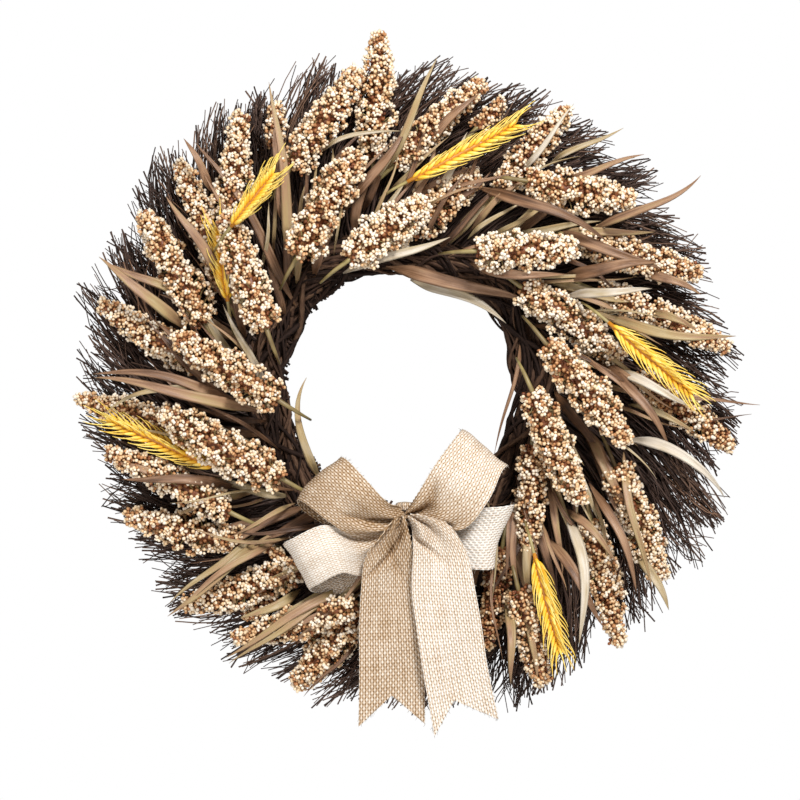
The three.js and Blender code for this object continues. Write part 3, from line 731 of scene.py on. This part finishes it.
def wheat_ear(name, node, rng):
    """Grains in whorls of four up a stalk, each whorl turned from the last, with an awn from every grain
    that leans out and then curves back along the ear."""
    root, tip, width = axis_of(node)
    direction, base, length = above_stem(root, tip)
    ear = length * 0.86
    first, second = across_axis(direction)
    whorls, around = WHORLS, GRAINS_IN_WHORL
    t = np.repeat((np.arange(whorls) + 0.3) / whorls, around) + np.tile([0, 0.036] * 2, whorls)
    angle = np.tile(np.arange(around) * np.pi / 2, whorls) + 0.8 + rng.normal(0, 0.12, whorls * around)
    count = len(t)
    outward = round_axis(angle, first, second)
    swell = np.sin(np.pi * np.clip(0.2 + 0.68 * t, 0, 1)) ** 0.8
    heading = unit(direction + outward * 0.56)
    foot = base + direction * (ear * t)[:, None] + outward * (width * 0.13 * swell)[:, None]
    grain_half = 5.4 * MM * (0.75 + 0.25 * swell)[:, None]
    middle = foot + heading * grain_half * 0.75
    tone = rng.uniform(0.5, 0.8, count)
    # fade is painted shade: each grain is darker and more orange towards its base, near the ear's core, and
    # paler towards its tip.
    grains = balls(middle, grain_half[:, 0] * 0.4, heading, 2.5, tone, segments=7, rings=7, narrow_tip=0.5,
                   fade=0.3)
    u = np.linspace(0, 1, 7)[None, :, None]
    awn_length = (rng.uniform(11, 17, count) * MM * (0.8 + 0.3 * t))[:, None, None]
    start = foot + heading * grain_half * 1.5
    lean = rng.uniform(0.45, 0.75, count)[:, None, None]
    awn = start[:, None] + awn_length * (direction * u + outward[:, None] * lean * (u - 0.45 * u * u))
    awns = tubes(awn, np.linspace(0.62, 0.22, 7) * MM, 4, rng.uniform(0.72, 1.0, count))
    core = tubes((base + direction * ear * np.linspace(-0.05, 1, 6)[:, None])[None],
                 np.array([1.4, 2.4, 2.8, 2.6, 2.0, 0.8])[None] * MM, 8, 0.05)
    stem_path = np.concatenate([dive(root, direction), [base, base + direction * 3 * MM]])
    stem = tubes(stem_path[None], np.array([0.8, 1.0, 1.2, 1.3, 1.2]) * MM, 8, 0.8, slot=1)
    make_piece(name, [grains, awns, core, stem], [GRAIN, STALK], replaces=[node])


def wheat_ears():
    """An ear on each wheat node."""
    rng = np.random.default_rng(SEED + 3)
    for number in range(1, 7):
        wheat_ear(f"wheat_{number}", f"wheat_ear_{number}", rng)


# ---- grass leaves --------------------
LEAF_THICK = 0.16 * MM          # half the thickness of a leaf
LEAF_STEPS = 18


def blades(rows):
    """Closed thin blades. A blade's middle line is an arc that starts at its root and turns by its bend,
    its width swells and then narrows to a point, and its section is a shallow V with a rib."""
    rows = np.asarray(rows, float)
    clock, radius, lean, length, bend, width, depth, rise, twist, shade = rows.T
    t = np.linspace(0, 1, LEAF_STEPS)
    heading = np.radians(clock + lean)[:, None] + np.radians(bend)[:, None] * t ** 1.3
    heading = heading + math.radians(6) * np.sin(6 * t + 7 * clock[:, None])
    step = (length * MM / (LEAF_STEPS - 1))[:, None]
    x = np.cumsum(np.sin(heading) * step, 1) - np.sin(heading[:, :1]) * step
    z = np.cumsum(np.cos(heading) * step, 1) - np.cos(heading[:, :1]) * step
    root_x = radius * MM * np.sin(np.radians(clock))
    root_z = radius * MM * np.cos(np.radians(clock))
    arch = np.sin(np.pi * t * 0.8)
    tucked = 16 * (1 - smooth(0.0, 0.22, t))
    front = (depth[:, None] + rise[:, None] * arch - tucked) * MM
    paths = place(root_x[:, None] + x, root_z[:, None] + z, front)
    across, up = side_vectors(paths)
    roll = np.radians(twist)[:, None] * (t - 0.3) * 1.4
    side = across * np.cos(roll)[..., None] + up * np.sin(roll)[..., None]
    face = np.cross(unit(np.gradient(paths, axis=1)), side)
    half = (width * MM / 2)[:, None] * smooth(-0.07, 0.24, t) * (1 - t ** 3.0) ** 0.9 * (1 - 0.2 * t)
    half = np.maximum(half, 0.12 * MM)[..., None]
    section = [(-1, 0.26, 0), (-0.5, 0.06, 1), (0, -0.16, 1), (0.5, 0.06, 1), (1, 0.26, 0),
               (0.5, 0.06, -1), (0, -0.16, -1), (-0.5, 0.06, -1)]
    rings = np.stack([paths + half * (a * side + fold * face) + LEAF_THICK * s * face
                      for a, fold, s in section], 2)
    return ring_solid(rings, shade, [(a + 1) / 2 for a, _, _ in section])


def ring_solid(rings, tone, across):
    """Closed solids from rings of points along each piece, with a point at each end."""
    count, steps, sides = rings.shape[:3]
    ends = np.stack([rings[:, 0].mean(1), rings[:, -1].mean(1)], 1)
    points = np.concatenate([rings.reshape(count, -1, 3), ends], 1)
    u = np.concatenate([np.tile(across, steps), [0.5, 0.5]])
    v = np.concatenate([np.repeat(np.linspace(0, 1, steps), sides), [0, 1]])
    uv = np.broadcast_to(np.stack([u, v], -1), (*points.shape[:2], 2))
    uv = uv + np.arange(count)[:, None, None] * [0.0, 3.7]
    return many_solids(points, closed_faces(steps, sides), tone, uv)


# Leaves that stand out, one by one: clock and radius of the root, lean from straight outwards, length, bend
# (clockwise), width, depth of the root, rise of the arch, twist, and shade (0 brown, 0.6 olive, 1 silver).
LEAVES = [
    (353, 160, 40, 100, -14, 7, 60, 26, 20, 0.62),
    (9, 142, 14, 58, 6, 7, 56, 14, 30, 0.85),
    (351, 93, 108, 116, 12, 12, 44, 14, 10, 0.3),
    (3, 82, 104, 82, 18, 10, 40, 10, -20, 0.88),
    (331, 98, 101, 86, 0, 9, 64, 24, 20, 0.88),
    (340, 189, 78, 66, 40, 4, 68, 8, 30, 0.8),
    (190, 198, 38, 60, -6, 3.5, 60, 6, 10, 0.1),
    (28, 182, 15, 68, -8, 5, 60, 18, 30, 0.95),
    (33, 202, 30, 62, 4, 5, 60, 10, 30, 0.7),
    (37, 194, 36, 68, 0, 6, 62, 12, 20, 0.4),
    (20, 162, 90, 108, 10, 10, 62, 28, 10, 0.18),
    (50, 184, 26, 92, -26, 7, 66, 30, 20, 0.36),
    (28, 106, 84, 74, -30, 9, 66, 20, 20, 0.3),
    (55, 145, 26, 74, 4, 11, 56, 30, 10, 0.24),
    (64, 200, 44, 50, 10, 8, 54, 12, 20, 0.34),
    (61, 140, 20, 64, 10, 8, 66, 26, 20, 0.92),
    (70, 158, 38, 104, -18, 9, 62, 34, 10, 0.56),
    (73, 196, 40, 38, 6, 7, 62, 12, 20, 0.5),
    (86, 158, 22, 66, 16, 8, 66, 24, 20, 0.94),
    (95, 172, 4, 54, 30, 6, 60, 14, 20, 0.6),
    (104, 174, -14, 88, 66, 9, 66, 28, 30, 1.0),
    (128, 153, -2, 58, 20, 7, 58, 22, 20, 0.42),
    (107, 176, 70, 106, -16, 7, 58, 16, 30, 0.5),
    (128, 154, 34, 104, 26, 9, 62, 26, 20, 0.88),
    (137, 158, 8, 80, 6, 9, 62, 24, 10, 0.3),
    (91, 178, 14, 94, -16, 4, 52, 10, 10, 0.3),
    (97, 190, -2, 78, -12, 3, 44, 6, 10, 0.1),
    (155, 182, 18, 62, 8, 8, 62, 22, 30, 0.5),
    (150, 186, 20, 66, 8, 7, 56, 16, 30, 0.5),
    (126, 220, 22, 48, 8, 8, 56, 14, 20, 0.72),
    (315, 208, 20, 46, -6, 7, 56, 14, 20, 0.34),
    (306, 104, 26, 148, -8, 8, 48, 12, 10, 0.28),
    (315, 121, 36, 146, 4, 9, 56, 18, 10, 0.44),
    (290, 116, 64, 76, -30, 6, 66, 22, 20, 0.9),
    (265, 106, 76, 78, -12, 7, 56, 24, 20, 0.8),
    (299, 158, 30, 80, -4, 9, 60, 14, 10, 0.34),
    (284, 172, 34, 86, -16, 10, 60, 18, 20, 0.46),
    (292, 180, 4, 66, -6, 8, 54, 12, 20, 0.42),
    (259, 110, 32, 130, -20, 10, 62, 30, 10, 0.38),
    (262, 120, 30, 122, -22, 9, 58, 26, 10, 0.26),
    (270, 156, -2, 78, -34, 5, 58, 16, 30, 0.66),
    (221, 98, 106, 84, 56, 7, 62, 10, 20, 0.6),
    (222, 158, 14, 94, -8, 8, 62, 22, 10, 0.5),
    (219, 152, 22, 96, -14, 6, 63, 22, -20, 0.4),
    (225, 160, 8, 84, -4, 6, 61, 20, 30, 0.6),
    (194, 157, 50, 112, -6, 8, 60, 24, 10, 0.46),
    (197, 160, 44, 104, -10, 6, 61, 24, -20, 0.56),
    (191, 160, 52, 100, 2, 6, 59, 20, 30, 0.38),
    (193, 168, 40, 60, 8, 9, 56, 14, 20, 0.44),
    (207, 176, 34, 50, 10, 8, 58, 14, 20, 0.6),
    (68, 96, 120, 92, 10, 3.5, 44, 4, 30, 0.3),
    (238, 150, 44, 88, -14, 9, 60, 22, 20, 0.22),
    (245, 180, 38, 64, 10, 8, 56, 16, 20, 0.34),
    (340, 140, 62, 84, -12, 9, 58, 26, 20, 0.2),
    (5, 180, 34, 60, 10, 8, 54, 16, 20, 0.24),
    (118, 160, 34, 90, 12, 8, 62, 22, 20, 0.26),
    (82, 150, 56, 88, 12, 9, 60, 24, 20, 0.24),
    (43, 160, 60, 92, 12, 10, 58, 22, 20, 0.24),
]


def fill_leaves(rng, count, width, depth):
    """Lower leaves between the heads, spread evenly round the wreath with a seeded scatter."""
    clock = (np.arange(count) + rng.uniform(0, 1, count)) * 360 / count
    return np.stack([
        clock, rng.uniform(104, 156, count), rng.uniform(20, 64, count), rng.uniform(50, 88, count),
        rng.uniform(-26, 26, count), rng.uniform(*width, count), rng.uniform(*depth, count),
        rng.uniform(6, 20, count), rng.uniform(-40, 40, count), rng.uniform(0.0, 0.75, count)], -1)


def grass_leaves():
    """Every leaf, shared out over the four sprays."""
    rng = np.random.default_rng(SEED + 4)
    stand_out = np.array(LEAVES, float)
    broad = fill_leaves(rng, 72, (5, 10), (40, 52))
    narrow = fill_leaves(rng, 88, (1.6, 4.5), (44, 66))
    low = np.concatenate([broad, narrow])
    for number in range(4):
        rows = np.concatenate([stand_out[number::4], low[number::4]])
        make_piece(f"grass_leaves_{number + 1}", [blades(rows)], [LEAF],
                   replaces=[f"leaf_spray_{number + 1}"])


# ---- bow --------------------
KNOT_HEIGHT = -97 * MM
KNOT_DEPTH = 84 * MM
RIBBON_WIDTH = 50 * MM
RIBBON_THICK = 0.7 * MM
THREAD_RISE = 0.36 * MM         # how far a thread lifts where it lies on top
PLEATS = 2
SAMPLES_PER_THREAD = 3

# Stations along each ribbon in millimetres from the knot (right, up, forward) with the half-width vector.
# A loop leaves the knot in front, turns over at its fold and comes back behind. A tail rises over the front
# of the knot and hangs.
RIBBONS = {
    "bow_loop_upper_left": [
        ((1, -3, 5), (2, 4, 0)), ((-12, -5, 9), (9, 9, 1)), ((-27, -3, 17), (14, 12, 2)),
        ((-44, 11, 25), (15, 15, 3)), ((-60, 25, 18), (15.5, 16.5, 4)), ((-66, 27, 5), (16, 16, 4)),
        ((-60, 15, -7), (15, 15, 4)), ((-38, 1, -10), (12, 13, 3)), ((-9, -1, -3), (2, 5, 0))],
    "bow_loop_lower_left": [
        ((-1, -6, 3), (0, 4, 0)), ((-15, -19, 3), (1, 11, 1)), ((-34, -29, 5), (-4, 17, 3)),
        ((-54, -26, 17), (-7, 18, 3)), ((-74, -35, 13), (-10, 17, 3)), ((-81, -40, 1), (-10, 17, 3)),
        ((-71, -44, -12), (-8, 17, 3)), ((-46, -42, -18), (-4, 16, 2)), ((-10, -12, -7), (-1, 4, 0))],
    "bow_loop_upper_right": [
        ((4, 0, 4), (2, -3, 0)), ((14, -1, 9), (9, -9, 1)), ((28, 4, 17), (17, -14, 2)),
        ((42, 24, 23), (20, -13, 3)), ((55, 45, 17), (17, -13, 4)), ((60, 50, 5), (17, -13, 4)),
        ((55, 44, -8), (16, -14, 4)), ((33, 19, -9), (12, -12, 2)), ((10, 3, -1), (3, -4, 0))],
    "bow_loop_lower_right": [
        ((8, -8, -10), (1, 3, 0)), ((28, -16, -5), (4, 14, 1)), ((50, -18, 2), (6, 22, 3)),
        ((65, -18, 2), (6.5, 24, 4)), ((73, -17, -7), (7, 24, 4)), ((68, -18, -20), (6, 20, 4)),
        ((40, -14, -26), (4, 15, 2)), ((13, -7, -14), (1, 4, 0))],
    "bow_tail_left": [
        ((-2, -3, 12), (3, 1, 0)), ((-9, -12, 15), (10, 5, -1)), ((-12, -30, 12), (18, 3, 0)),
        ((-12, -55, 7), (21, 1, 0)), ((-11, -85, 4), (23.5, 1, 0)), ((-10, -120, 2), (24.5, 1, 0)),
        ((-10, -159, 2), (25, 1, 0))],
    "bow_tail_right": [
        ((4, -3, 13), (2, 1, 0)), ((17, -9, 19), (12, 4, 1)), ((26, -29, 18), (20, 1, 1)),
        ((29, -58, 16), (24, -1, 1)), ((33, -85, 14), (24.5, 0, 1)), ((38, -118, 12), (24, 3, 1)),
        ((46, -160, 10), (24, 6.5, 0))],
}
NOTCH_DEPTH = 22 * MM


def smooth_curve(stations, at):
    """A curve through stations (Catmull-Rom), read at shares of its length from 0 to 1."""
    stations = np.asarray(stations, float)
    padded = np.concatenate([[2 * stations[0] - stations[1]], stations, [2 * stations[-1] - stations[-2]]])
    place_on = np.clip(np.asarray(at) * (len(stations) - 1), 0, len(stations) - 1 - 1e-9)
    k = place_on.astype(int)
    u = (place_on - k)[:, None]
    a, b, c, d = (padded[k + i] for i in range(4))
    square, cube = 2 * a - 5 * b + 4 * c - d, 3 * b - a - 3 * c + d
    return 0.5 * (2 * b + (c - a) * u + square * u ** 2 + cube * u ** 3)


def even_shares(stations, count):
    """Shares that are evenly spaced along the curve, and its length."""
    fine = np.linspace(0, 1, 400)
    line = smooth_curve(stations, fine)
    travelled = np.concatenate([[0], np.cumsum(np.linalg.norm(np.diff(line, axis=0), axis=1))])
    return np.interp(np.linspace(0, travelled[-1], count), travelled, fine), travelled[-1]


# Creases pressed into a ribbon near the knot: where they start and end across the width (-1 to 1) and along
# the length (0 to 1), and how deep they are in millimetres.
CREASES = {
    "bow_tail_left": [(0.75, -0.8, 0.1, 0.3, 5.5), (-0.1, 0.55, 0.12, 0.34, 2.5)],
    "bow_tail_right": [(-0.9, 0.05, 0.12, 0.27, 5.0)],
    "bow_loop_upper_left": [(0.1, -0.5, 0.08, 0.3, 3.0)],
    "bow_loop_lower_left": [(0.2, 0.75, 0.08, 0.27, 4.0)],
    "bow_loop_upper_right": [(-0.3, -0.75, 0.06, 0.26, 4.0)],
    "bow_loop_lower_right": [],
}

# Tone of each ribbon at the knot and away from it, all painted light and shade: low at the knot as painted
# shade in the gather, and each ribbon paler or darker away from the knot by how lit it is.
RIBBON_LIGHT_AND_SHADE_TONES = {
    "bow_loop_upper_left": (0.2, 0.31), "bow_loop_lower_left": (0.22, 0.61),
    "bow_loop_upper_right": (0.2, 0.5), "bow_loop_lower_right": (0.5, 0.7),
    "bow_tail_left": (0.22, 0.36), "bow_tail_right": (0.42, 0.56)}


def press_creases(name, across, along):
    """How far back the creases press each point, in metres, which ribbon_surface also turns into painted
    shade
    in the creases: a bell across the crease times a smooth start and end along it."""
    depth = np.zeros((len(along), len(across)))
    for start, end, first, last, deep in CREASES[name]:
        share = np.clip((along - first) / (last - first), 0, 1)[:, None]
        bell = np.exp(-((across[None] - (start + (end - start) * share)) / 0.17) ** 2)
        window = smooth(first - 0.05, first + 0.05, along) * (1 - smooth(last - 0.1, last + 0.03, along))
        depth = depth + deep * MM * bell * window[:, None]
    return depth


def ribbon_surface(name, phase, notch_at):
    """A woven ribbon. Its middle line follows the stations, and where it is gathered narrower than its
    cut width the spare cloth stands up in pleats, cosines across the width that keep the cut width. The weave
    lifts each crossing by cos(pi u) cos(pi v), with u and v counted in threads."""
    stations = RIBBONS[name]
    centres = np.array([at for at, _ in stations], float) * MM
    halves = np.array([half for _, half in stations], float) * MM
    is_tail = "tail" in name
    _, length = even_shares(centres, 2)
    rows = int(length / WEFT_PITCH * SAMPLES_PER_THREAD) + 1
    columns = int(RIBBON_WIDTH / WARP_PITCH * SAMPLES_PER_THREAD) + 1
    shares, length = even_shares(centres, rows)
    centre, half = smooth_curve(centres, shares), smooth_curve(halves, shares)
    middle = place(centre[:, 0], KNOT_HEIGHT + centre[:, 1], KNOT_DEPTH + centre[:, 2])
    reach = np.stack([half[:, 0], -half[:, 2], half[:, 1]], -1)
    across = np.linspace(-1, 1, columns)
    along = np.linspace(0, 1, rows)
    tangent = unit(np.gradient(middle, axis=0))
    normal = unit(np.cross(tangent, reach))

    gathered = np.linalg.norm(reach, axis=1) * 2
    leg = RIBBON_WIDTH / (2 * PLEATS)
    lift = 0.5 * np.sqrt(np.maximum(leg ** 2 - (gathered / (2 * PLEATS)) ** 2, 0))
    from_knot = along if is_tail else np.minimum(along, 1 - along)
    lift = lift * (1 - 0.88 * smooth(0.0, 0.26, from_knot))
    wave = np.cos(np.pi * PLEATS * (across[None] + 1) + phase + 1.3 * along[:, None])
    cup = 1.6 * MM * (across[None] ** 2 - 0.4) * smooth(0.05, 0.4, from_knot)[:, None]
    ripple = 1.2 * MM * np.sin(2 * np.pi * (1.6 * along[:, None] + 0.45 * across[None]) + phase)
    offset = lift[:, None] * wave + cup + ripple * smooth(0.02, 0.3, from_knot)[:, None]
    forward = np.where(normal[:, 1] > 0, -1.0, 1.0)[:, None]
    pressed = press_creases(name, across, along)
    offset = offset - forward * pressed
    surface = middle[:, None] + across[None, :, None] * reach[:, None] + offset[..., None] * normal[:, None]
    # Painted shade: the tone darkens towards the knot and in the creases, and on a loop's back layer, inside
    # the loop.
    knot_shade_tone, open_tone = RIBBON_LIGHT_AND_SHADE_TONES[name]
    tone = knot_shade_tone + (open_tone - knot_shade_tone) * smooth(0.0, 0.36, from_knot)[:, None] - pressed / MM * 0.03
    if not is_tail:
        tone = tone - 0.1 * smooth(0.54, 0.62, along)[:, None]

    u = np.broadcast_to(((across + 1) / 2 * RIBBON_WIDTH)[None], (rows, columns))
    v = np.broadcast_to((along * length)[:, None], (rows, columns))
    if is_tail:
        slope = np.where(across < notch_at, (1 + across) / (1 + notch_at), (1 - across) / (1 - notch_at))
        cut = NOTCH_DEPTH * slope * smooth(0.45, 1.0, along)[:, None]
        surface = surface - tangent[:, None] * cut[..., None]
        v = v - cut
    weave = THREAD_RISE * np.cos(np.pi * u / WARP_PITCH) * np.cos(np.pi * v / WEFT_PITCH)
    true_normal = unit(np.cross(np.gradient(surface, axis=0), np.gradient(surface, axis=1)))
    surface = surface + weave[..., None] * true_normal
    return surface, true_normal, np.stack([u, v], -1), tone, length


def cloth_solid(surface, normal, uv, tone):
    """Both faces of a cloth, half a thickness either side of its surface, closed along its four edges."""
    rows, columns = surface.shape[:2]
    count = rows * columns
    i, j = np.meshgrid(np.arange(rows - 1), np.arange(columns - 1), indexing="ij")
    p = (i * columns + j).ravel()
    faces = np.stack([p, p + columns, p + columns + 1, p + 1], -1)
    grid = np.arange(count).reshape(rows, columns)
    edge = np.concatenate([grid[0], grid[1:, -1], grid[-1, -2::-1], grid[-2:0:-1, 0]])
    after = np.roll(edge, -1)
    rim = np.stack([edge, after, after + count, edge + count], -1)
    quads = np.concatenate([faces, faces[:, ::-1] + count, rim])
    front = surface + normal * RIBBON_THICK / 2
    back = surface - normal * RIBBON_THICK / 2
    points = np.concatenate([front.reshape(-1, 3), back.reshape(-1, 3)])
    both = np.concatenate([uv.reshape(-1, 2)] * 2)
    return Surface(points, quads, (), np.tile(tone.ravel(), 2), both)


def frayed(surface, rng, end_too):
    """Loose fibres along the cut edges: short thin threads that stick out and curl."""
    rows, columns = surface.shape[:2]
    pick = rng.integers(int(rows * 0.12), int(rows * (1.0 if end_too else 0.88)), 70)
    side = rng.choice([0, columns - 1], len(pick))
    start = surface[pick, side]
    out = unit(start - surface[pick, np.where(side == 0, 4, columns - 5)])
    if end_too:
        across = rng.integers(0, columns, 36)
        start = np.concatenate([start, surface[-1, across]])
        out = np.concatenate([out, unit(surface[-1, across] - surface[-4, across])])
    count = len(start)
    length = rng.uniform(0.8, 2.8, (count, 1, 1)) * MM
    curl = unit(rng.normal(0, 1, (count, 3)))[:, None]
    t = np.linspace(0, 1, 4)[None, :, None]
    route = start[:, None] + length * (t * out[:, None] + 0.5 * t * t * curl) - out[:, None] * 0.6 * MM
    return tubes(route, np.array([0.24, 0.2, 0.16, 0.1]) * MM, 3, 0.6)


def ribbon_piece(name, phase, notch_at=0.0):
    """One ribbon of the bow, with its frayed edges; its flat cloth area is worked out but not put to use."""
    rng = np.random.default_rng(SEED + 40 + int(10 * phase))
    is_tail = "tail" in name
    surface, normal, uv, tone, length = ribbon_surface(name, phase, notch_at)
    cloth = cloth_solid(surface, normal, uv, tone)
    piece = make_piece(name.replace("bow", "ribbon"), [cloth, frayed(surface, rng, is_tail)], [BURLAP],
                       replaces=[name])
    area = RIBBON_WIDTH * (length - (NOTCH_DEPTH / 2 if is_tail else 0))


def bow_knot():
    """The pinched middle, mostly under the tails: a gathered band with deep folds, cosines round its axis."""
    t = np.linspace(-1, 1, 36)[:, None]
    a = np.linspace(0, 2 * np.pi, 60, endpoint=False)[None]
    waist = 0.62 + 0.38 * np.abs(t) ** 1.2
    folds = 1 + 0.15 * np.cos(8 * a + 1.6 * t) * (0.5 + 0.5 * np.abs(t))
    closing = np.maximum(np.sqrt(np.maximum(1 - np.abs(t) ** 8, 0.0)), 0.05)
    radius = 7.6 * MM * waist * closing * folds
    height = np.broadcast_to(t * 9 * MM, radius.shape)
    rings = place(0, KNOT_HEIGHT, KNOT_DEPTH) + np.stack([radius * np.cos(a), radius * np.sin(a), height], -1)
    surface = ring_solid(rings[None], 0.4, list(a[0] / (2 * np.pi) * 0.05))
    surface.uv = surface.uv * [1.0, 0.018]
    make_piece("ribbon_centre", [flip(surface)], [BURLAP], replaces=["bow_centre"])


def bow_wire():
    """Binding wire: three turns round the waist, a helix, and its twisted end run back to the vine ring."""
    a = np.linspace(0, 2 * np.pi * 3.4, 110)
    radius = 5.4 * MM
    centre = place(0, KNOT_HEIGHT, KNOT_DEPTH)
    turns = centre + np.stack([radius * np.cos(a), radius * np.sin(a), (a / a[-1] - 0.3) * 5 * MM], -1)
    t = np.linspace(0, 1, 40)
    legs = [place(0.8 * MM * np.cos(28 * t + s), KNOT_HEIGHT + 0.8 * MM * np.sin(28 * t + s),
                  KNOT_DEPTH - 5 * MM - t * 45 * MM) for s in (0, math.pi)]
    coil = tubes(turns[None], 0.75 * MM, 8, 0.3)
    ends = tubes(np.array(legs), 0.7 * MM, 8, 0.3)
    make_piece("ribbon_wire", [coil, ends], [DARK_WIRE], replaces=["bow_tie_wire"])


def bow():
    """The knot and its wire, then the ribbons."""
    bow_knot()
    bow_wire()
    ribbon_piece("bow_loop_lower_right", 0.6)
    ribbon_piece("bow_loop_lower_left", 2.1)
    ribbon_piece("bow_loop_upper_left", 0.2)
    ribbon_piece("bow_loop_upper_right", 1.4)
    ribbon_piece("bow_tail_left", 0.9)
    ribbon_piece("bow_tail_right", 2.6, -0.2)


# ---- frame --------------------
def frame_metal():
    """The welded frame and the hanging ring keep their shape and take a drawn-steel finish."""
    for node in ("wire_frame", "hanging_ring"):
        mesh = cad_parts[node].data
        mesh.materials.clear()
        mesh.materials.append(STEEL)


# ---- stage --------------------
FLOOR_SIZE, FLOOR_LEVEL = 4.0, -1.35
SURROUND = 0.42                 # strength of the surround's light
LIGHTS = [("key", (0.55, -1.6, 0.85), 0.45, 44), ("fill", (-1.1, -1.7, -0.6), 1.3, 15)]


def stage():
    """A plain pale floor below the wreath, a soft white surround and two broad lights."""
    size, level = FLOOR_SIZE, FLOOR_LEVEL
    mesh = bpy.data.meshes.new("floor")
    mesh.from_pydata([(-size, -size, level), (size, -size, level), (size, size, level), (-size, size, level)],
                     [], [(0, 1, 2, 3)])
    f = Finish("floor")
    mesh.materials.append(f.done(Base_Color=rgba(0.86, 0.86, 0.85), Roughness=0.7))
    floor = bpy.data.objects.new("floor", mesh)
    bpy.context.scene.collection.objects.link(floor)

    world = bpy.data.worlds.new("surround")
    bpy.context.scene.world = world
    world.use_nodes = True
    nodes, links = world.node_tree.nodes, world.node_tree.links
    nodes.clear()
    backgrounds = []
    for colour, strength in ((rgba(1, 1, 1), 1.0), (rgba(1, 0.95, 0.9), SURROUND)):
        node = nodes.new("ShaderNodeBackground")
        node.inputs["Color"].default_value = colour
        node.inputs["Strength"].default_value = strength
        backgrounds.append(node)
    seen, cast = backgrounds
    path = nodes.new("ShaderNodeLightPath")
    mix = nodes.new("ShaderNodeMixShader")
    output = nodes.new("ShaderNodeOutputWorld")
    links.new(path.outputs["Is Camera Ray"], mix.inputs["Fac"])
    links.new(cast.outputs[0], mix.inputs[1])
    links.new(seen.outputs[0], mix.inputs[2])
    links.new(mix.outputs[0], output.inputs["Surface"])

    for name, place_at, width, power in LIGHTS:
        data = bpy.data.lights.new(name, "AREA")
        data.size = width
        data.energy = power
        light = bpy.data.objects.new(name, data)
        light.location = place_at
        aim = np.array([0, 0, -HOOK_HEIGHT]) - np.array(place_at)
        light.rotation_euler = (math.acos(-aim[2] / np.linalg.norm(aim)), 0,
                                math.atan2(aim[1], aim[0]) - math.pi / 2)
        bpy.context.scene.collection.objects.link(light)


vine_ring()
twig_tufts()
seed_heads()
wheat_ears()
grass_leaves()
bow()
frame_metal()
stage()
bpy.context.scene.view_settings.view_transform = "Standard"
